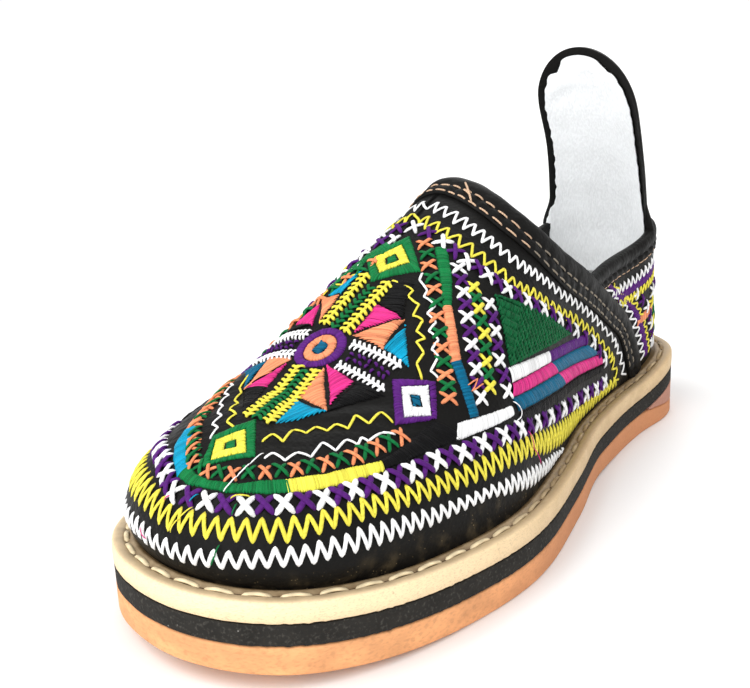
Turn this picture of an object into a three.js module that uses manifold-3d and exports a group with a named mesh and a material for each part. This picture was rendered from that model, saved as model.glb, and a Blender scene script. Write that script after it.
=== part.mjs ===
// Embroidered slip-on shoe, left foot, with a tall tongue-shaped tab at the heel.
// Millimetres. Toe towards -Y, heel towards +Y, +Z up, the wearer's outer side is +X.
// The origin lies on the floor under the middle of the sole.

import * as THREE from 'three';
import { mergeVertices } from 'three/addons/utils/BufferGeometryUtils.js';
import Module from 'manifold-3d';

// Driving sizes of the sole
const LENGTH = 256;
const BALL_WIDTH = 103;
const OUTSOLE_THICKNESS = 7.5;
const MIDSOLE_THICKNESS = 5.8;
const WELT_THICKNESS = 6.0;
const WELT_LIP = 6.8;
const TOE_SPRING = 5.4;
const ARCH_RISE = 0.8;
const HEEL_LIFT = 8.0;
const LIFT_LET_IN = 2.5;
const EDGE_ROUND = 1.4;
const INSOLE_RISE = 1.8;

// Driving sizes of the upper, heights above the welt
const INSTEP_HEIGHT = 80.6;
const TOPLINE_HEIGHT = 52;
const UPPER_WALL = 1.8;
const VAMP_STEP = 1.0;
const BINDING_WIDTH = 8.5;
const TOPLINE_BINDING_WIDTH = 7;
const BINDING_THICKNESS = 1.1;

// Driving sizes of the heel tab
const TAB_HEIGHT = 67;
const TAB_TUCK = 20;
const TAB_WIDTH = 39;
const TAB_LEAN = 25;
const TAB_THICKNESS = 2.4;
const LINING_THICKNESS = 1.1;
const LINING_MARGIN = 2.2;
const LINING_SHIFT = 1.2;

// Clearance between curved pieces that touch in the real shoe
const GAP = 0.3;

// Sole outline. station: share of LENGTH from the toe tip. centre: sideways place of the middle line.
// breadth: half breadth before the ends are rounded off. Both are shares of BALL_WIDTH.
const OUTLINE = [
  { station: 0.0, centre: 0.012, breadth: 0.735 },
  { station: 0.03, centre: -0.005, breadth: 0.728 },
  { station: 0.098, centre: -0.019, breadth: 0.668 },
  { station: 0.216, centre: -0.015, breadth: 0.59 },
  { station: 0.353, centre: 0.009, breadth: 0.516 },
  { station: 0.51, centre: 0.009, breadth: 0.413 },
  { station: 0.647, centre: 0.001, breadth: 0.347 },
  { station: 0.804, centre: -0.007, breadth: 0.374 },
  { station: 0.922, centre: 0.002, breadth: 0.515 },
  { station: 1.0, centre: -0.002, breadth: 0.61 },
];

// Crest of the last. height: over the welt, as a share of INSTEP_HEIGHT.
// drift: sideways place as a share of BALL_WIDTH.
const CREST = [
  { station: 0.2, height: 0.45, drift: -0.045 },
  { station: 0.27, height: 0.56, drift: -0.068 },
  { station: 0.42, height: 0.825, drift: -0.074 },
  { station: 0.56, height: 1.015, drift: -0.078 },
  { station: 0.7, height: 1.11, drift: -0.04 },
  { station: 0.86, height: 1.17, drift: -0.008 },
];

// Ribs of the last, by the place of their foot. round: exponent of their curve.
// bulge: how far the toe swells over its foot.
const RIBS = [
  { station: 0.1, round: 1.7, bulge: 0.2 },
  { station: 0.2, round: 2.2, bulge: 0.04 },
  { station: 0.27, round: 2.08, bulge: 0.005 },
  { station: 0.42, round: 2.0, bulge: 0 },
  { station: 0.56, round: 2.1, bulge: 0 },
  { station: 0.7, round: 2.6, bulge: 0 },
  { station: 0.86, round: 3.2, bulge: 0 },
];

// Shares of LENGTH that place the toe spring, the arch, the heel lift and the middles of toe and heel
const SPRING_END = 0.3;
const ARCH_START = 0.53;
const ARCH_END = 0.74;
const LIFT_START = 0.8;
const LIFT_FULL = 0.94;
const WEDGE_FRONT = 0.22;
const TOE_MIDDLE = 0.2;
const HEEL_MIDDLE = 0.865;
const MIDDLE_BLEND = 0.07;

// Rear edge of the vamp in side view, from the throat's peak down to the welt.
// station: share of LENGTH. height: share of INSTEP_HEIGHT over the welt.
const VAMP_EDGE = [
  { station: 0.548, height: 1.15 },
  { station: 0.552, height: 1.0 },
  { station: 0.561, height: 0.9 },
  { station: 0.58, height: 0.82 },
  { station: 0.618, height: 0.71 },
  { station: 0.693, height: 0.553 },
  { station: 0.755, height: 0.418 },
  { station: 0.803, height: 0.31 },
  { station: 0.828, height: 0.19 },
  { station: 0.843, height: 0.08 },
  { station: 0.855, height: -0.06 },
];

// Top edge of the quarters in side view, from under the vamp to the back of the heel.
// height: share of TOPLINE_HEIGHT over the welt.
const QUARTER_EDGE = [
  { station: 0.6, height: 0.82 },
  { station: 0.7, height: 0.845 },
  { station: 0.76, height: 0.885 },
  { station: 0.83, height: 0.915 },
  { station: 0.88, height: 0.965 },
  { station: 0.93, height: 1.04 },
  { station: 1.02, height: 1.1 },
];

// Outline of the heel tab. rise: share of TAB_HEIGHT over the topline. lean: share of TAB_LEAN forwards.
// breadth: share of half of TAB_WIDTH. sag: how far its sides come forward, share of TAB_WIDTH.
// slant: how far it moves to the inner side, share of TAB_WIDTH.
const TAB = [
  { rise: -0.3, lean: -0.02, breadth: 1.0, sag: 0.34, slant: 0 },
  { rise: 0.0, lean: 0.02, breadth: 1.02, sag: 0.34, slant: 0 },
  { rise: 0.16, lean: 0.12, breadth: 0.97, sag: 0.29, slant: 0 },
  { rise: 0.4, lean: 0.36, breadth: 0.96, sag: 0.22, slant: 0 },
  { rise: 0.65, lean: 0.66, breadth: 1.0, sag: 0.17, slant: 0.01 },
  { rise: 1.0, lean: 1.0, breadth: 1.0, sag: 0.12, slant: 0.09 },
];
const TAB_ROUND_START = 0.62;
const TAB_CURL = 0.9;

// Steps of the meshes
const SIDE_STEPS = 40;
const RIB_STEPS = 12;
const TAB_ROWS = 18;
const TAB_COLUMNS = 10;

const wasm = await Module();
wasm.setup();

// Smooth value of one column between the rows of a table
function column(rows, key, name, at) {
  const last = rows.length - 1;
  if (at <= rows[0][key]) return rows[0][name];
  if (at >= rows[last][key]) return rows[last][name];
  const i = rows.findIndex((row) => row[key] > at) - 1;
  const slope = (a, b) => (rows[b][name] - rows[a][name]) / (rows[b][key] - rows[a][key]);
  const span = rows[i + 1][key] - rows[i][key];
  const start = slope(Math.max(i - 1, 0), i + 1) * span;
  const end = slope(i, Math.min(i + 2, last)) * span;
  const t = (at - rows[i][key]) / span;
  const rest = 1 - t;
  return (
    rows[i][name] * rest * rest * (1 + 2 * t) +
    rows[i + 1][name] * t * t * (3 - 2 * t) +
    start * t * rest * rest -
    end * t * t * rest
  );
}

function smoothStep(from, to, at) {
  return THREE.MathUtils.smoothstep(at, from, to);
}

// Heights of the sole's layers along the shoe

function stationOf(y) {
  return y / LENGTH + 0.5;
}

function placeOf(station) {
  return (station - 0.5) * LENGTH;
}

function springRise(station) {
  const share = Math.max(0, (SPRING_END - station) / SPRING_END);
  return TOE_SPRING * share * share;
}

function archRise(station) {
  const share = (station - ARCH_START) / (ARCH_END - ARCH_START);
  if (share <= 0 || share >= 1) return 0;
  return ARCH_RISE * Math.sin(Math.PI * share) ** 2;
}

function liftShare(station) {
  return smoothStep(LIFT_START, LIFT_FULL, station);
}

function floorFace(station) {
  return springRise(station) + archRise(station);
}

function outsoleTop(station) {
  return OUTSOLE_THICKNESS + springRise(station) - LIFT_LET_IN * liftShare(station);
}

function liftTop(station) {
  return outsoleTop(station) + HEEL_LIFT * liftShare(station);
}

function midsoleTop(station) {
  return liftTop(station) + MIDSOLE_THICKNESS;
}

function weltTop(station) {
  return midsoleTop(station) + WELT_THICKNESS;
}

// Closed loop round the sole, drawn in by an inset, from the toe tip along the outer side to the heel and back

function outlinePoint(station, side) {
  const turn = 2 * Math.sqrt(Math.max(0, station * (1 - station)));
  const centre = column(OUTLINE, 'station', 'centre', station);
  const breadth = column(OUTLINE, 'station', 'breadth', station);
  return new THREE.Vector2(BALL_WIDTH * (centre + side * turn * breadth), placeOf(station));
}

function soleLoop(inset) {
  const points = [];
  for (let k = 0; k < 2 * SIDE_STEPS; k += 1) {
    const side = k <= SIDE_STEPS ? 1 : -1;
    const step = k <= SIDE_STEPS ? k : 2 * SIDE_STEPS - k;
    points.push(outlinePoint((1 - Math.cos((Math.PI * step) / SIDE_STEPS)) / 2, side));
  }
  return points.map((point, k) => {
    const before = points[(k + points.length - 1) % points.length];
    const after = points[(k + 1) % points.length];
    const along = after.clone().sub(before).normalize();
    const place = point.clone();
    place.x -= along.y * inset;
    place.y += along.x * inset;
    return { x: place.x, y: place.y, own: point.y };
  });
}

// Meshes

function solid(positions, indices) {
  let geometry = new THREE.BufferGeometry();
  geometry.setAttribute('position', new THREE.Float32BufferAttribute(positions, 3));
  geometry.setIndex(indices);
  geometry = mergeVertices(geometry, 0.001);
  const index = Array.from(geometry.index.array);
  const kept = [];
  for (let i = 0; i < index.length; i += 3) {
    const [a, b, c] = index.slice(i, i + 3);
    if (a !== b && b !== c && c !== a) kept.push(a, b, c);
  }
  const mesh = new wasm.Mesh({
    numProp: 3,
    vertProperties: new Float32Array(geometry.attributes.position.array),
    triVerts: new Uint32Array(kept),
  });
  return new wasm.Manifold(mesh);
}

// Solid between stacked loops of equal count, its ends closed by strips from side to side
function stack(loops) {
  const count = loops[0].length;
  const positions = loops.flat().flatMap((point) => [point.x, point.y, point.z]);
  const indices = [];
  for (let row = 0; row + 1 < loops.length; row += 1) {
    for (let k = 0; k < count; k += 1) {
      const a = row * count + k;
      const b = row * count + ((k + 1) % count);
      indices.push(a, b, b + count, a, b + count, a + count);
    }
  }
  const top = (loops.length - 1) * count;
  for (let k = 0; k < count / 2; k += 1) {
    const pair = (count - k) % count;
    const next = (count - k - 1) % count;
    indices.push(pair, k + 1, k, pair, next, k + 1);
    indices.push(top + pair, top + k, top + k + 1, top + pair, top + k + 1, top + next);
  }
  return solid(positions, indices);
}

// Sole layers: a plate between two height functions, its lower edge rounded where wanted
function plate(inset, lower, upper, round = 0) {
  const rows = [];
  const level = (extra, height, raise) =>
    soleLoop(inset + extra).map((point) => ({ ...point, z: height(stationOf(point.own)) + raise }));
  if (round > 0) {
    rows.push(level(round, lower, 0));
    rows.push(level(round * 0.3, lower, round * 0.35));
    rows.push(level(0, lower, round));
  } else {
    rows.push(level(0, lower, 0));
  }
  rows.push(level(0, upper, 0));
  return stack(rows);
}

// Side profile in the YZ plane, pushed through the whole width
function sideCutter(profile) {
  const shape = new THREE.Shape(profile.map((point) => new THREE.Vector2(point.y, point.z)));
  const width = 2 * BALL_WIDTH;
  const geometry = new THREE.ExtrudeGeometry(shape, { depth: width, bevelEnabled: false });
  geometry.translate(0, 0, -width / 2);
  const basis = new THREE.Matrix4().makeBasis(
    new THREE.Vector3(0, 1, 0),
    new THREE.Vector3(0, 0, 1),
    new THREE.Vector3(1, 0, 0),
  );
  geometry.applyMatrix4(basis);
  geometry.deleteAttribute('normal');
  geometry.deleteAttribute('uv');
  const merged = mergeVertices(geometry, 0.001);
  return solid(Array.from(merged.attributes.position.array), Array.from(merged.index.array));
}

// The last: ribs rise from the welt and meet on a crest over the shoe's middle

function crestPlace(y) {
  const blend = MIDDLE_BLEND * LENGTH;
  const front = placeOf(TOE_MIDDLE);
  const back = placeOf(HEEL_MIDDLE);
  if (y <= front - blend) return front;
  if (y < front + blend) return front + (y - front + blend) ** 2 / (4 * blend);
  if (y <= back - blend) return y;
  if (y < back + blend) return back - (back + blend - y) ** 2 / (4 * blend);
  return back;
}

function ribPoint(foot, offset, turn) {
  const y = crestPlace(foot.own);
  const station = stationOf(y);
  const own = stationOf(foot.own);
  const x = BALL_WIDTH * column(CREST, 'station', 'drift', station);
  const power = 2 / column(RIBS, 'station', 'round', own);
  const bulge = column(RIBS, 'station', 'bulge', own);
  const crest = weltTop(station) + INSTEP_HEIGHT * column(CREST, 'station', 'height', station) + offset;
  const base = weltTop(own);
  const out = Math.cos(turn) ** power + bulge * Math.sin(2 * turn) * Math.cos(turn);
  const up = Math.sin(turn) ** power;
  return { x: x + (foot.x - x) * out, y: y + (foot.y - y) * out, z: base + (crest - base) * up };
}

// Body of the last, offset outwards from the vamp's face, its foot lowered by a drop
function lastBody(offset, drop) {
  const feet = soleLoop(WELT_LIP - offset);
  const loops = [feet.map((foot) => ({ x: foot.x, y: foot.y, z: weltTop(stationOf(foot.own)) - drop }))];
  for (let step = 1; step <= RIB_STEPS; step += 1) {
    const turn = (Math.PI / 2) * (step / RIB_STEPS);
    loops.push(feet.map((foot) => ribPoint(foot, offset, Math.min(turn, Math.PI / 2 - 1e-9))));
  }
  return stack(loops);
}

// Edge lines in side view, drawn fine from the short tables, and moved square to themselves
function edgeLine(rows, scale, shift) {
  const line = [];
  const steps = 4;
  for (let i = 0; i + 1 < rows.length; i += 1) {
    for (let k = 0; k < steps + (i + 2 === rows.length ? 1 : 0); k += 1) {
      const at = rows[i].station + ((rows[i + 1].station - rows[i].station) * k) / steps;
      const height = column(rows, 'station', 'height', at);
      line.push({ y: placeOf(at), z: weltTop(0.5) + scale * height });
    }
  }
  return line.map((point, i) => {
    const before = line[Math.max(i - 1, 0)];
    const after = line[Math.min(i + 1, line.length - 1)];
    const length = Math.hypot(after.y - before.y, after.z - before.z);
    return {
      y: point.y - (shift * (before.z - after.z)) / length,
      z: point.z - (shift * (after.y - before.y)) / length,
    };
  });
}

const SKY = weltTop(0.5) + 2 * INSTEP_HEIGHT;
const PIT = -INSTEP_HEIGHT;

// Everything in front of the vamp's rear edge, the edge moved forward by a shift
function frontOf(shift) {
  const line = edgeLine(VAMP_EDGE, INSTEP_HEIGHT, shift);
  const lowest = line[line.length - 1];
  return sideCutter([
    { y: -LENGTH, z: PIT },
    { y: lowest.y, z: PIT },
    ...line.slice().reverse(),
    { y: line[0].y, z: SKY },
    { y: -LENGTH, z: SKY },
  ]);
}

// Everything under the quarters' top edge, the edge moved down by a shift
function under(shift) {
  const line = edgeLine(QUARTER_EDGE, TOPLINE_HEIGHT, shift);
  const rearmost = line[line.length - 1];
  return sideCutter([
    { y: line[0].y, z: PIT },
    { y: LENGTH, z: PIT },
    { y: LENGTH, z: rearmost.z },
    ...line.slice().reverse(),
  ]);
}

const VAMP_FACE = 0;
const QUARTER_FACE = -VAMP_STEP;
const INNER_FACE = -VAMP_STEP - UPPER_WALL;
const FOLD = GAP + BINDING_THICKNESS;
const OPEN_FOOT = 2 * WELT_THICKNESS;

function makeUpper() {
  const vamp = lastBody(VAMP_FACE, -GAP).intersect(frontOf(0));
  const quarters = lastBody(QUARTER_FACE, -GAP).intersect(under(0));
  return vamp.add(quarters).subtract(lastBody(INNER_FACE, OPEN_FOOT));
}

// Strip folded over an edge of the upper, with a slot for the wall that it holds
function foldedStrip(face, band, wallSide) {
  const skin = lastBody(face + FOLD, -2 * GAP).subtract(lastBody(INNER_FACE - FOLD, OPEN_FOOT));
  const slot = lastBody(face + GAP, OPEN_FOOT).intersect(wallSide).subtract(lastBody(INNER_FACE - GAP, OPEN_FOOT));
  return skin.intersect(band).subtract(slot);
}

function makeThroatBinding() {
  const band = frontOf(-FOLD).subtract(frontOf(BINDING_WIDTH));
  const quarters = lastBody(QUARTER_FACE + GAP, OPEN_FOOT).intersect(under(-GAP));
  return foldedStrip(VAMP_FACE, band, frontOf(-GAP)).subtract(quarters);
}

function makeToplineBinding(tab) {
  const band = under(-FOLD).subtract(under(TOPLINE_BINDING_WIDTH));
  const strip = foldedStrip(QUARTER_FACE, band, under(-GAP)).subtract(frontOf(-FOLD - GAP));
  return strip.subtract(tab);
}

// Place of the quarters' inner face at the back of the heel, level with the topline
function heelWall() {
  const foot = soleLoop(WELT_LIP - INNER_FACE + GAP)[SIDE_STEPS];
  const base = weltTop(1);
  const level = weltTop(0.5) + TOPLINE_HEIGHT;
  const station = HEEL_MIDDLE;
  const round = column(RIBS, 'station', 'round', 1);
  const crest = weltTop(station) + INSTEP_HEIGHT * column(CREST, 'station', 'height', station) + INNER_FACE;
  const turn = Math.asin(((level - base) / (crest - base)) ** (round / 2));
  return { ...ribPoint(foot, INNER_FACE, turn), z: level };
}

// Leaf of the tab: its back face moved forward by a start, its edges drawn in by a margin
function tabLeaf(start, thickness, margin, shift, tuck) {
  const wall = heelWall();
  const loops = [];
  for (let row = 0; row <= TAB_ROWS; row += 1) {
    const top = TAB_HEIGHT - margin;
    const climb = Math.sin((Math.PI / 2) * (row / TAB_ROWS));
    const height = -tuck + (top + tuck) * climb;
    const rise = Math.max(TAB[0].rise, height / TAB_HEIGHT);
    const round = Math.max(0, (height / top - TAB_ROUND_START) / (1 - TAB_ROUND_START));
    const full = (TAB_WIDTH / 2) * column(TAB, 'rise', 'breadth', rise) - margin;
    const half = Math.max(full * Math.sqrt(Math.max(0, 1 - round ** 2.2)), TAB_THICKNESS * 0.2);
    const sag = TAB_WIDTH * column(TAB, 'rise', 'sag', rise);
    const lean = TAB_LEAN * column(TAB, 'rise', 'lean', rise);
    const place = (share, depth) => {
      const x = share * half + shift - TAB_WIDTH * column(TAB, 'rise', 'slant', rise);
      const across = Math.min(Math.abs(x) / (TAB_WIDTH / 2), 1);
      const curl = (1 - Math.sqrt(1 - (TAB_CURL * across) ** 2)) / (1 - Math.sqrt(1 - TAB_CURL ** 2));
      return { x: wall.x + x, y: wall.y - lean - sag * curl - start - depth, z: wall.z + height };
    };
    const loop = [];
    for (let k = 0; k <= TAB_COLUMNS; k += 1) loop.push(place(1 - (2 * k) / TAB_COLUMNS, 0));
    for (let k = TAB_COLUMNS; k >= 0; k -= 1) loop.push(place(1 - (2 * k) / TAB_COLUMNS, thickness));
    loops.push(loop);
  }
  return sheetStack(loops);
}

// Solid between stacked loops that are folded flat: the first half is the back, the second the front
function sheetStack(loops) {
  const count = loops[0].length;
  const positions = loops.flat().flatMap((point) => [point.x, point.y, point.z]);
  const indices = [];
  for (let row = 0; row + 1 < loops.length; row += 1) {
    for (let k = 0; k < count; k += 1) {
      const a = row * count + k;
      const b = row * count + ((k + 1) % count);
      indices.push(a, b, b + count, a, b + count, a + count);
    }
  }
  const top = (loops.length - 1) * count;
  for (let k = 0; k + 1 < count / 2; k += 1) {
    const pair = count - 1 - k;
    indices.push(pair, k + 1, k, pair, pair - 1, k + 1);
    indices.push(top + pair, top + k, top + k + 1, top + pair, top + k + 1, top + pair - 1);
  }
  return solid(positions, indices);
}

// Room that the quarters' wall takes, with its clearance
function wallRoom() {
  const outside = lastBody(QUARTER_FACE + 4 * TAB_THICKNESS, OPEN_FOOT);
  return outside.subtract(lastBody(INNER_FACE - GAP, OPEN_FOOT)).intersect(under(-GAP));
}

function makeHeelTab() {
  return tabLeaf(0, TAB_THICKNESS, 0, 0, TAB_TUCK).subtract(wallRoom());
}

function makeTabLining() {
  const face = tabLeaf(TAB_THICKNESS, GAP + LINING_THICKNESS, LINING_MARGIN, -LINING_SHIFT, TAB_TUCK);
  return face.subtract(tabLeaf(0, TAB_THICKNESS + GAP, 0, 0, TAB_TUCK)).subtract(wallRoom());
}

// The welt is a ring; the insole lies inside it on the midsole
const INSOLE_INSET = WELT_LIP + VAMP_STEP + UPPER_WALL + 3 * GAP;

function makeWelt() {
  const whole = plate(0, (at) => midsoleTop(at) + GAP, weltTop);
  const middle = plate(INSOLE_INSET, (at) => midsoleTop(at) - GAP, (at) => weltTop(at) + GAP);
  return whole.subtract(middle);
}

function makeInsole() {
  return plate(INSOLE_INSET + GAP, (at) => midsoleTop(at) + GAP, (at) => weltTop(at) + INSOLE_RISE);
}

function makeHeelWedge() {
  const front = placeOf(THREE.MathUtils.lerp(LIFT_START, LIFT_FULL, WEDGE_FRONT));
  const behind = sideCutter([
    { y: front, z: PIT },
    { y: LENGTH, z: PIT },
    { y: LENGTH, z: SKY },
    { y: front, z: SKY },
  ]);
  return plate(0, (at) => outsoleTop(at) + GAP, (at) => Math.max(liftTop(at), outsoleTop(at) + 2 * GAP))
    .intersect(behind);
}

function makeMidsole() {
  return plate(0, (at) => liftTop(at) + GAP, midsoleTop);
}

function makeOutsole() {
  return plate(0, floorFace, outsoleTop, EDGE_ROUND);
}

// Scene graph

const finishes = {
  crepe_rubber: { color: 0xdc9c68, roughness: 0.85 },
  lift_rubber: { color: 0xb98a7c, roughness: 0.85 },
  black_foam: { color: 0x2d2b29, roughness: 0.9 },
  tan_leather: { color: 0xd9c096, roughness: 0.6 },
  footbed_leather: { color: 0xe2dccf, roughness: 0.75 },
  black_leather: { color: 0x1b1b1d, roughness: 0.42 },
  white_felt: { color: 0xf1f3f6, roughness: 0.95 },
};

function meshFrom(name, body, finish) {
  const data = body.getMesh();
  let geometry = new THREE.BufferGeometry();
  geometry.setAttribute('position', new THREE.BufferAttribute(new Float32Array(data.vertProperties), 3));
  geometry.setIndex(Array.from(data.triVerts));
  geometry.computeVertexNormals();
  const material = new THREE.MeshStandardMaterial({ ...finishes[finish], metalness: 0 });
  const mesh = new THREE.Mesh(geometry, material);
  mesh.name = name;
  return mesh;
}

const tab = makeHeelTab();
const tabRoom = tabLeaf(-GAP, 2 * (TAB_THICKNESS + LINING_THICKNESS), -GAP, 0, TAB_TUCK);

const group = new THREE.Group();
group.add(meshFrom('outsole', makeOutsole(), 'crepe_rubber'));
group.add(meshFrom('heel_wedge', makeHeelWedge(), 'lift_rubber'));
group.add(meshFrom('midsole', makeMidsole(), 'black_foam'));
group.add(meshFrom('welt', makeWelt(), 'tan_leather'));
group.add(meshFrom('insole', makeInsole(), 'footbed_leather'));
group.add(meshFrom('upper', makeUpper(), 'black_leather'));
group.add(meshFrom('throat_binding', makeThroatBinding(), 'black_leather'));
group.add(meshFrom('topline_binding', makeToplineBinding(tabRoom), 'black_leather'));
group.add(meshFrom('heel_tab', tab, 'black_leather'));
group.add(meshFrom('tab_lining', makeTabLining(), 'white_felt'));

export default group;
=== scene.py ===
"""Embroidered slip-on shoe: left foot, black leather, crepe sole, tall felt-lined heel tab."""

import math

import bmesh
import bpy
import numpy as np
from bpy.props import FloatProperty, FloatVectorProperty, PointerProperty
from mathutils import Matrix, Vector
from mathutils.bvhtree import BVHTree
from mathutils.kdtree import KDTree


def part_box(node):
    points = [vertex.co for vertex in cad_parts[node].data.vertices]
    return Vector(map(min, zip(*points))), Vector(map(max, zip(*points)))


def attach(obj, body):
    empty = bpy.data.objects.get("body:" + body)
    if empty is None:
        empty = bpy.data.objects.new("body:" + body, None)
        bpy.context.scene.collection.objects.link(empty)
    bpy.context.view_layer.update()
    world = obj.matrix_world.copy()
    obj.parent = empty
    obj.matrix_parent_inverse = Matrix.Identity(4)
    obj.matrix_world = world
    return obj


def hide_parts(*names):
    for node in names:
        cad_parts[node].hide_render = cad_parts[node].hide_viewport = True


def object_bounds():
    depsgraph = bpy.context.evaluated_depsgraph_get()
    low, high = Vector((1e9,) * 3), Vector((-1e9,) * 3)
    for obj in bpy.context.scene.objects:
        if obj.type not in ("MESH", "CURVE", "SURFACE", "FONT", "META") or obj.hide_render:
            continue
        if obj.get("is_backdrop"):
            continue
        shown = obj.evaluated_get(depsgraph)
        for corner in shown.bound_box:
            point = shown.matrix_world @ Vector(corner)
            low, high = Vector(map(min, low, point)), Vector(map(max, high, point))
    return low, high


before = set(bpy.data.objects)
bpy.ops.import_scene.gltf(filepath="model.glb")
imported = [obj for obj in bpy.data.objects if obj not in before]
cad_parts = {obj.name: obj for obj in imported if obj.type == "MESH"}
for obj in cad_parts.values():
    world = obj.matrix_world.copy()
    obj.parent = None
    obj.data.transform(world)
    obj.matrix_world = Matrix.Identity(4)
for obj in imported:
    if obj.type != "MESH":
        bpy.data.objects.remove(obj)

bl_info = {
    "name": "Embroidered Slip-on Shoe",
    "version": (1, 0, 0),
    "blender": (4, 5, 0),
    "location": "View3D > Sidebar > Shoe",
    "description": "Builds an embroidered leather slip-on around its CAD frame",
    "category": "Object",
}

CAD_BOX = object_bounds()
SOLE_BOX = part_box("outsole")
MM = 0.001


# Tables of the form, as shares of the sizes they follow

OUTLINE = {
    "station": (0.0, 0.03, 0.098, 0.216, 0.353, 0.51, 0.647, 0.804, 0.922, 1.0),
    "centre": (0.012, -0.005, -0.019, -0.015, 0.009, 0.009, 0.001, -0.007, 0.002, -0.002),
    "breadth": (0.735, 0.728, 0.668, 0.59, 0.516, 0.413, 0.347, 0.374, 0.515, 0.61),
}
CREST = {
    "station": (0.2, 0.27, 0.42, 0.56, 0.7, 0.86),
    "height": (0.45, 0.56, 0.825, 1.015, 1.11, 1.17),
    "drift": (-0.045, -0.068, -0.074, -0.078, -0.04, -0.008),
}
RIBS = {
    "station": (0.1, 0.2, 0.27, 0.42, 0.56, 0.7, 0.86),
    "round": (1.7, 2.2, 2.08, 2.0, 2.1, 2.6, 3.2),
    "bulge": (0.2, 0.04, 0.005, 0.0, 0.0, 0.0, 0.0),
}
VAMP_EDGE = {
    "station": (0.548, 0.552, 0.561, 0.58, 0.618, 0.693, 0.755, 0.803, 0.828, 0.843, 0.855),
    "height": (1.15, 1.0, 0.9, 0.82, 0.71, 0.553, 0.418, 0.31, 0.19, 0.08, -0.06),
}
QUARTER_EDGE = {
    "station": (0.6, 0.7, 0.76, 0.83, 0.88, 0.93, 1.02),
    "height": (0.82, 0.845, 0.885, 0.915, 0.965, 1.04, 1.1),
}
TAB = {
    "station": (-0.3, 0.0, 0.16, 0.4, 0.65, 1.0),
    "lean": (-0.02, 0.02, 0.12, 0.36, 0.66, 1.0),
    "breadth": (1.0, 1.02, 0.97, 0.96, 1.0, 1.0),
    "sag": (0.34, 0.34, 0.29, 0.22, 0.17, 0.12),
    "slant": (0.0, 0.0, 0.0, 0.0, 0.01, 0.09),
}
SPRING_END = 0.3
ARCH_START = 0.53
ARCH_END = 0.74
LIFT_START = 0.8
LIFT_FULL = 0.94
WEDGE_FRONT = 0.22
TOE_MIDDLE = 0.2
HEEL_MIDDLE = 0.865
MIDDLE_BLEND = 0.07
TAB_ROUND_START = 0.62
TAB_CURL = 0.9
CREST_TURN = math.pi / 2


def size_prop(name, description, default):
    """Length property in metres."""
    return FloatProperty(
        name=name, description=description, default=default, unit="LENGTH", subtype="DISTANCE"
    )


def colour_prop(name, description, default):
    """Colour property, linear red, green and blue."""
    return FloatVectorProperty(name=name, description=description, default=default, size=3, subtype="COLOR")


class ShoeSizes(bpy.types.PropertyGroup):
    """Sizes of the shoe, in metres."""

    length: size_prop("Length", "Toe to heel of the sole", SOLE_BOX[1][1] - SOLE_BOX[0][1])
    ball_width: size_prop("Ball width", "Width that the sole's outline follows", 0.103)
    outsole: size_prop("Outsole", "Thickness of the crepe outsole", 0.0075)
    midsole: size_prop("Midsole", "Thickness of the black foam", 0.0058)
    welt: size_prop("Welt", "Thickness of the leather welt", 0.006)
    welt_lip: size_prop("Welt lip", "How far the welt stands out from the upper", 0.0068)
    toe_spring: size_prop("Toe spring", "Rise of the toe tip", 0.0054)
    arch_rise: size_prop("Arch rise", "Rise of the outsole under the arch", 0.0008)
    heel_lift: size_prop("Heel lift", "Thickness of the heel wedge", 0.008)
    lift_let_in: size_prop("Wedge let-in", "How deep the wedge sits in the outsole", 0.0025)
    insole_rise: size_prop("Insole rise", "Height of the footbed over the welt", 0.0018)
    instep: size_prop("Instep", "Height of the instep over the welt", 0.0806)
    topline: size_prop("Topline", "Height of the quarters over the welt", 0.052)
    wall: size_prop("Upper wall", "Thickness of the upper", 0.0018)
    vamp_step: size_prop("Vamp step", "How far the vamp stands over the quarters", 0.001)
    throat_binding: size_prop("Throat binding", "Width of the binding on the throat", 0.0085)
    topline_binding: size_prop("Topline binding", "Width of the binding on the quarters", 0.007)
    binding: size_prop("Binding", "Thickness of the binding leather", 0.0011)
    tab_height: size_prop("Tab height", "Height of the heel tab over the topline", 0.067)
    tab_tuck: size_prop("Tab tuck", "How far the tab goes down inside the heel", 0.02)
    tab_width: size_prop("Tab width", "Width of the heel tab", 0.039)
    tab_lean: size_prop("Tab lean", "How far the tab's tip leans forwards", 0.025)
    tab_thickness: size_prop("Tab thickness", "Thickness of the tab's leather", 0.0024)
    lining: size_prop("Lining", "Thickness of the felt", 0.0011)
    lining_margin: size_prop("Lining margin", "Leather left bare round the felt", 0.0028)
    lining_shift: size_prop("Lining shift", "How far the felt sits to the inner side", 0.0004)
    gap: size_prop("Gap", "Clearance between pieces", 0.0003)


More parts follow.
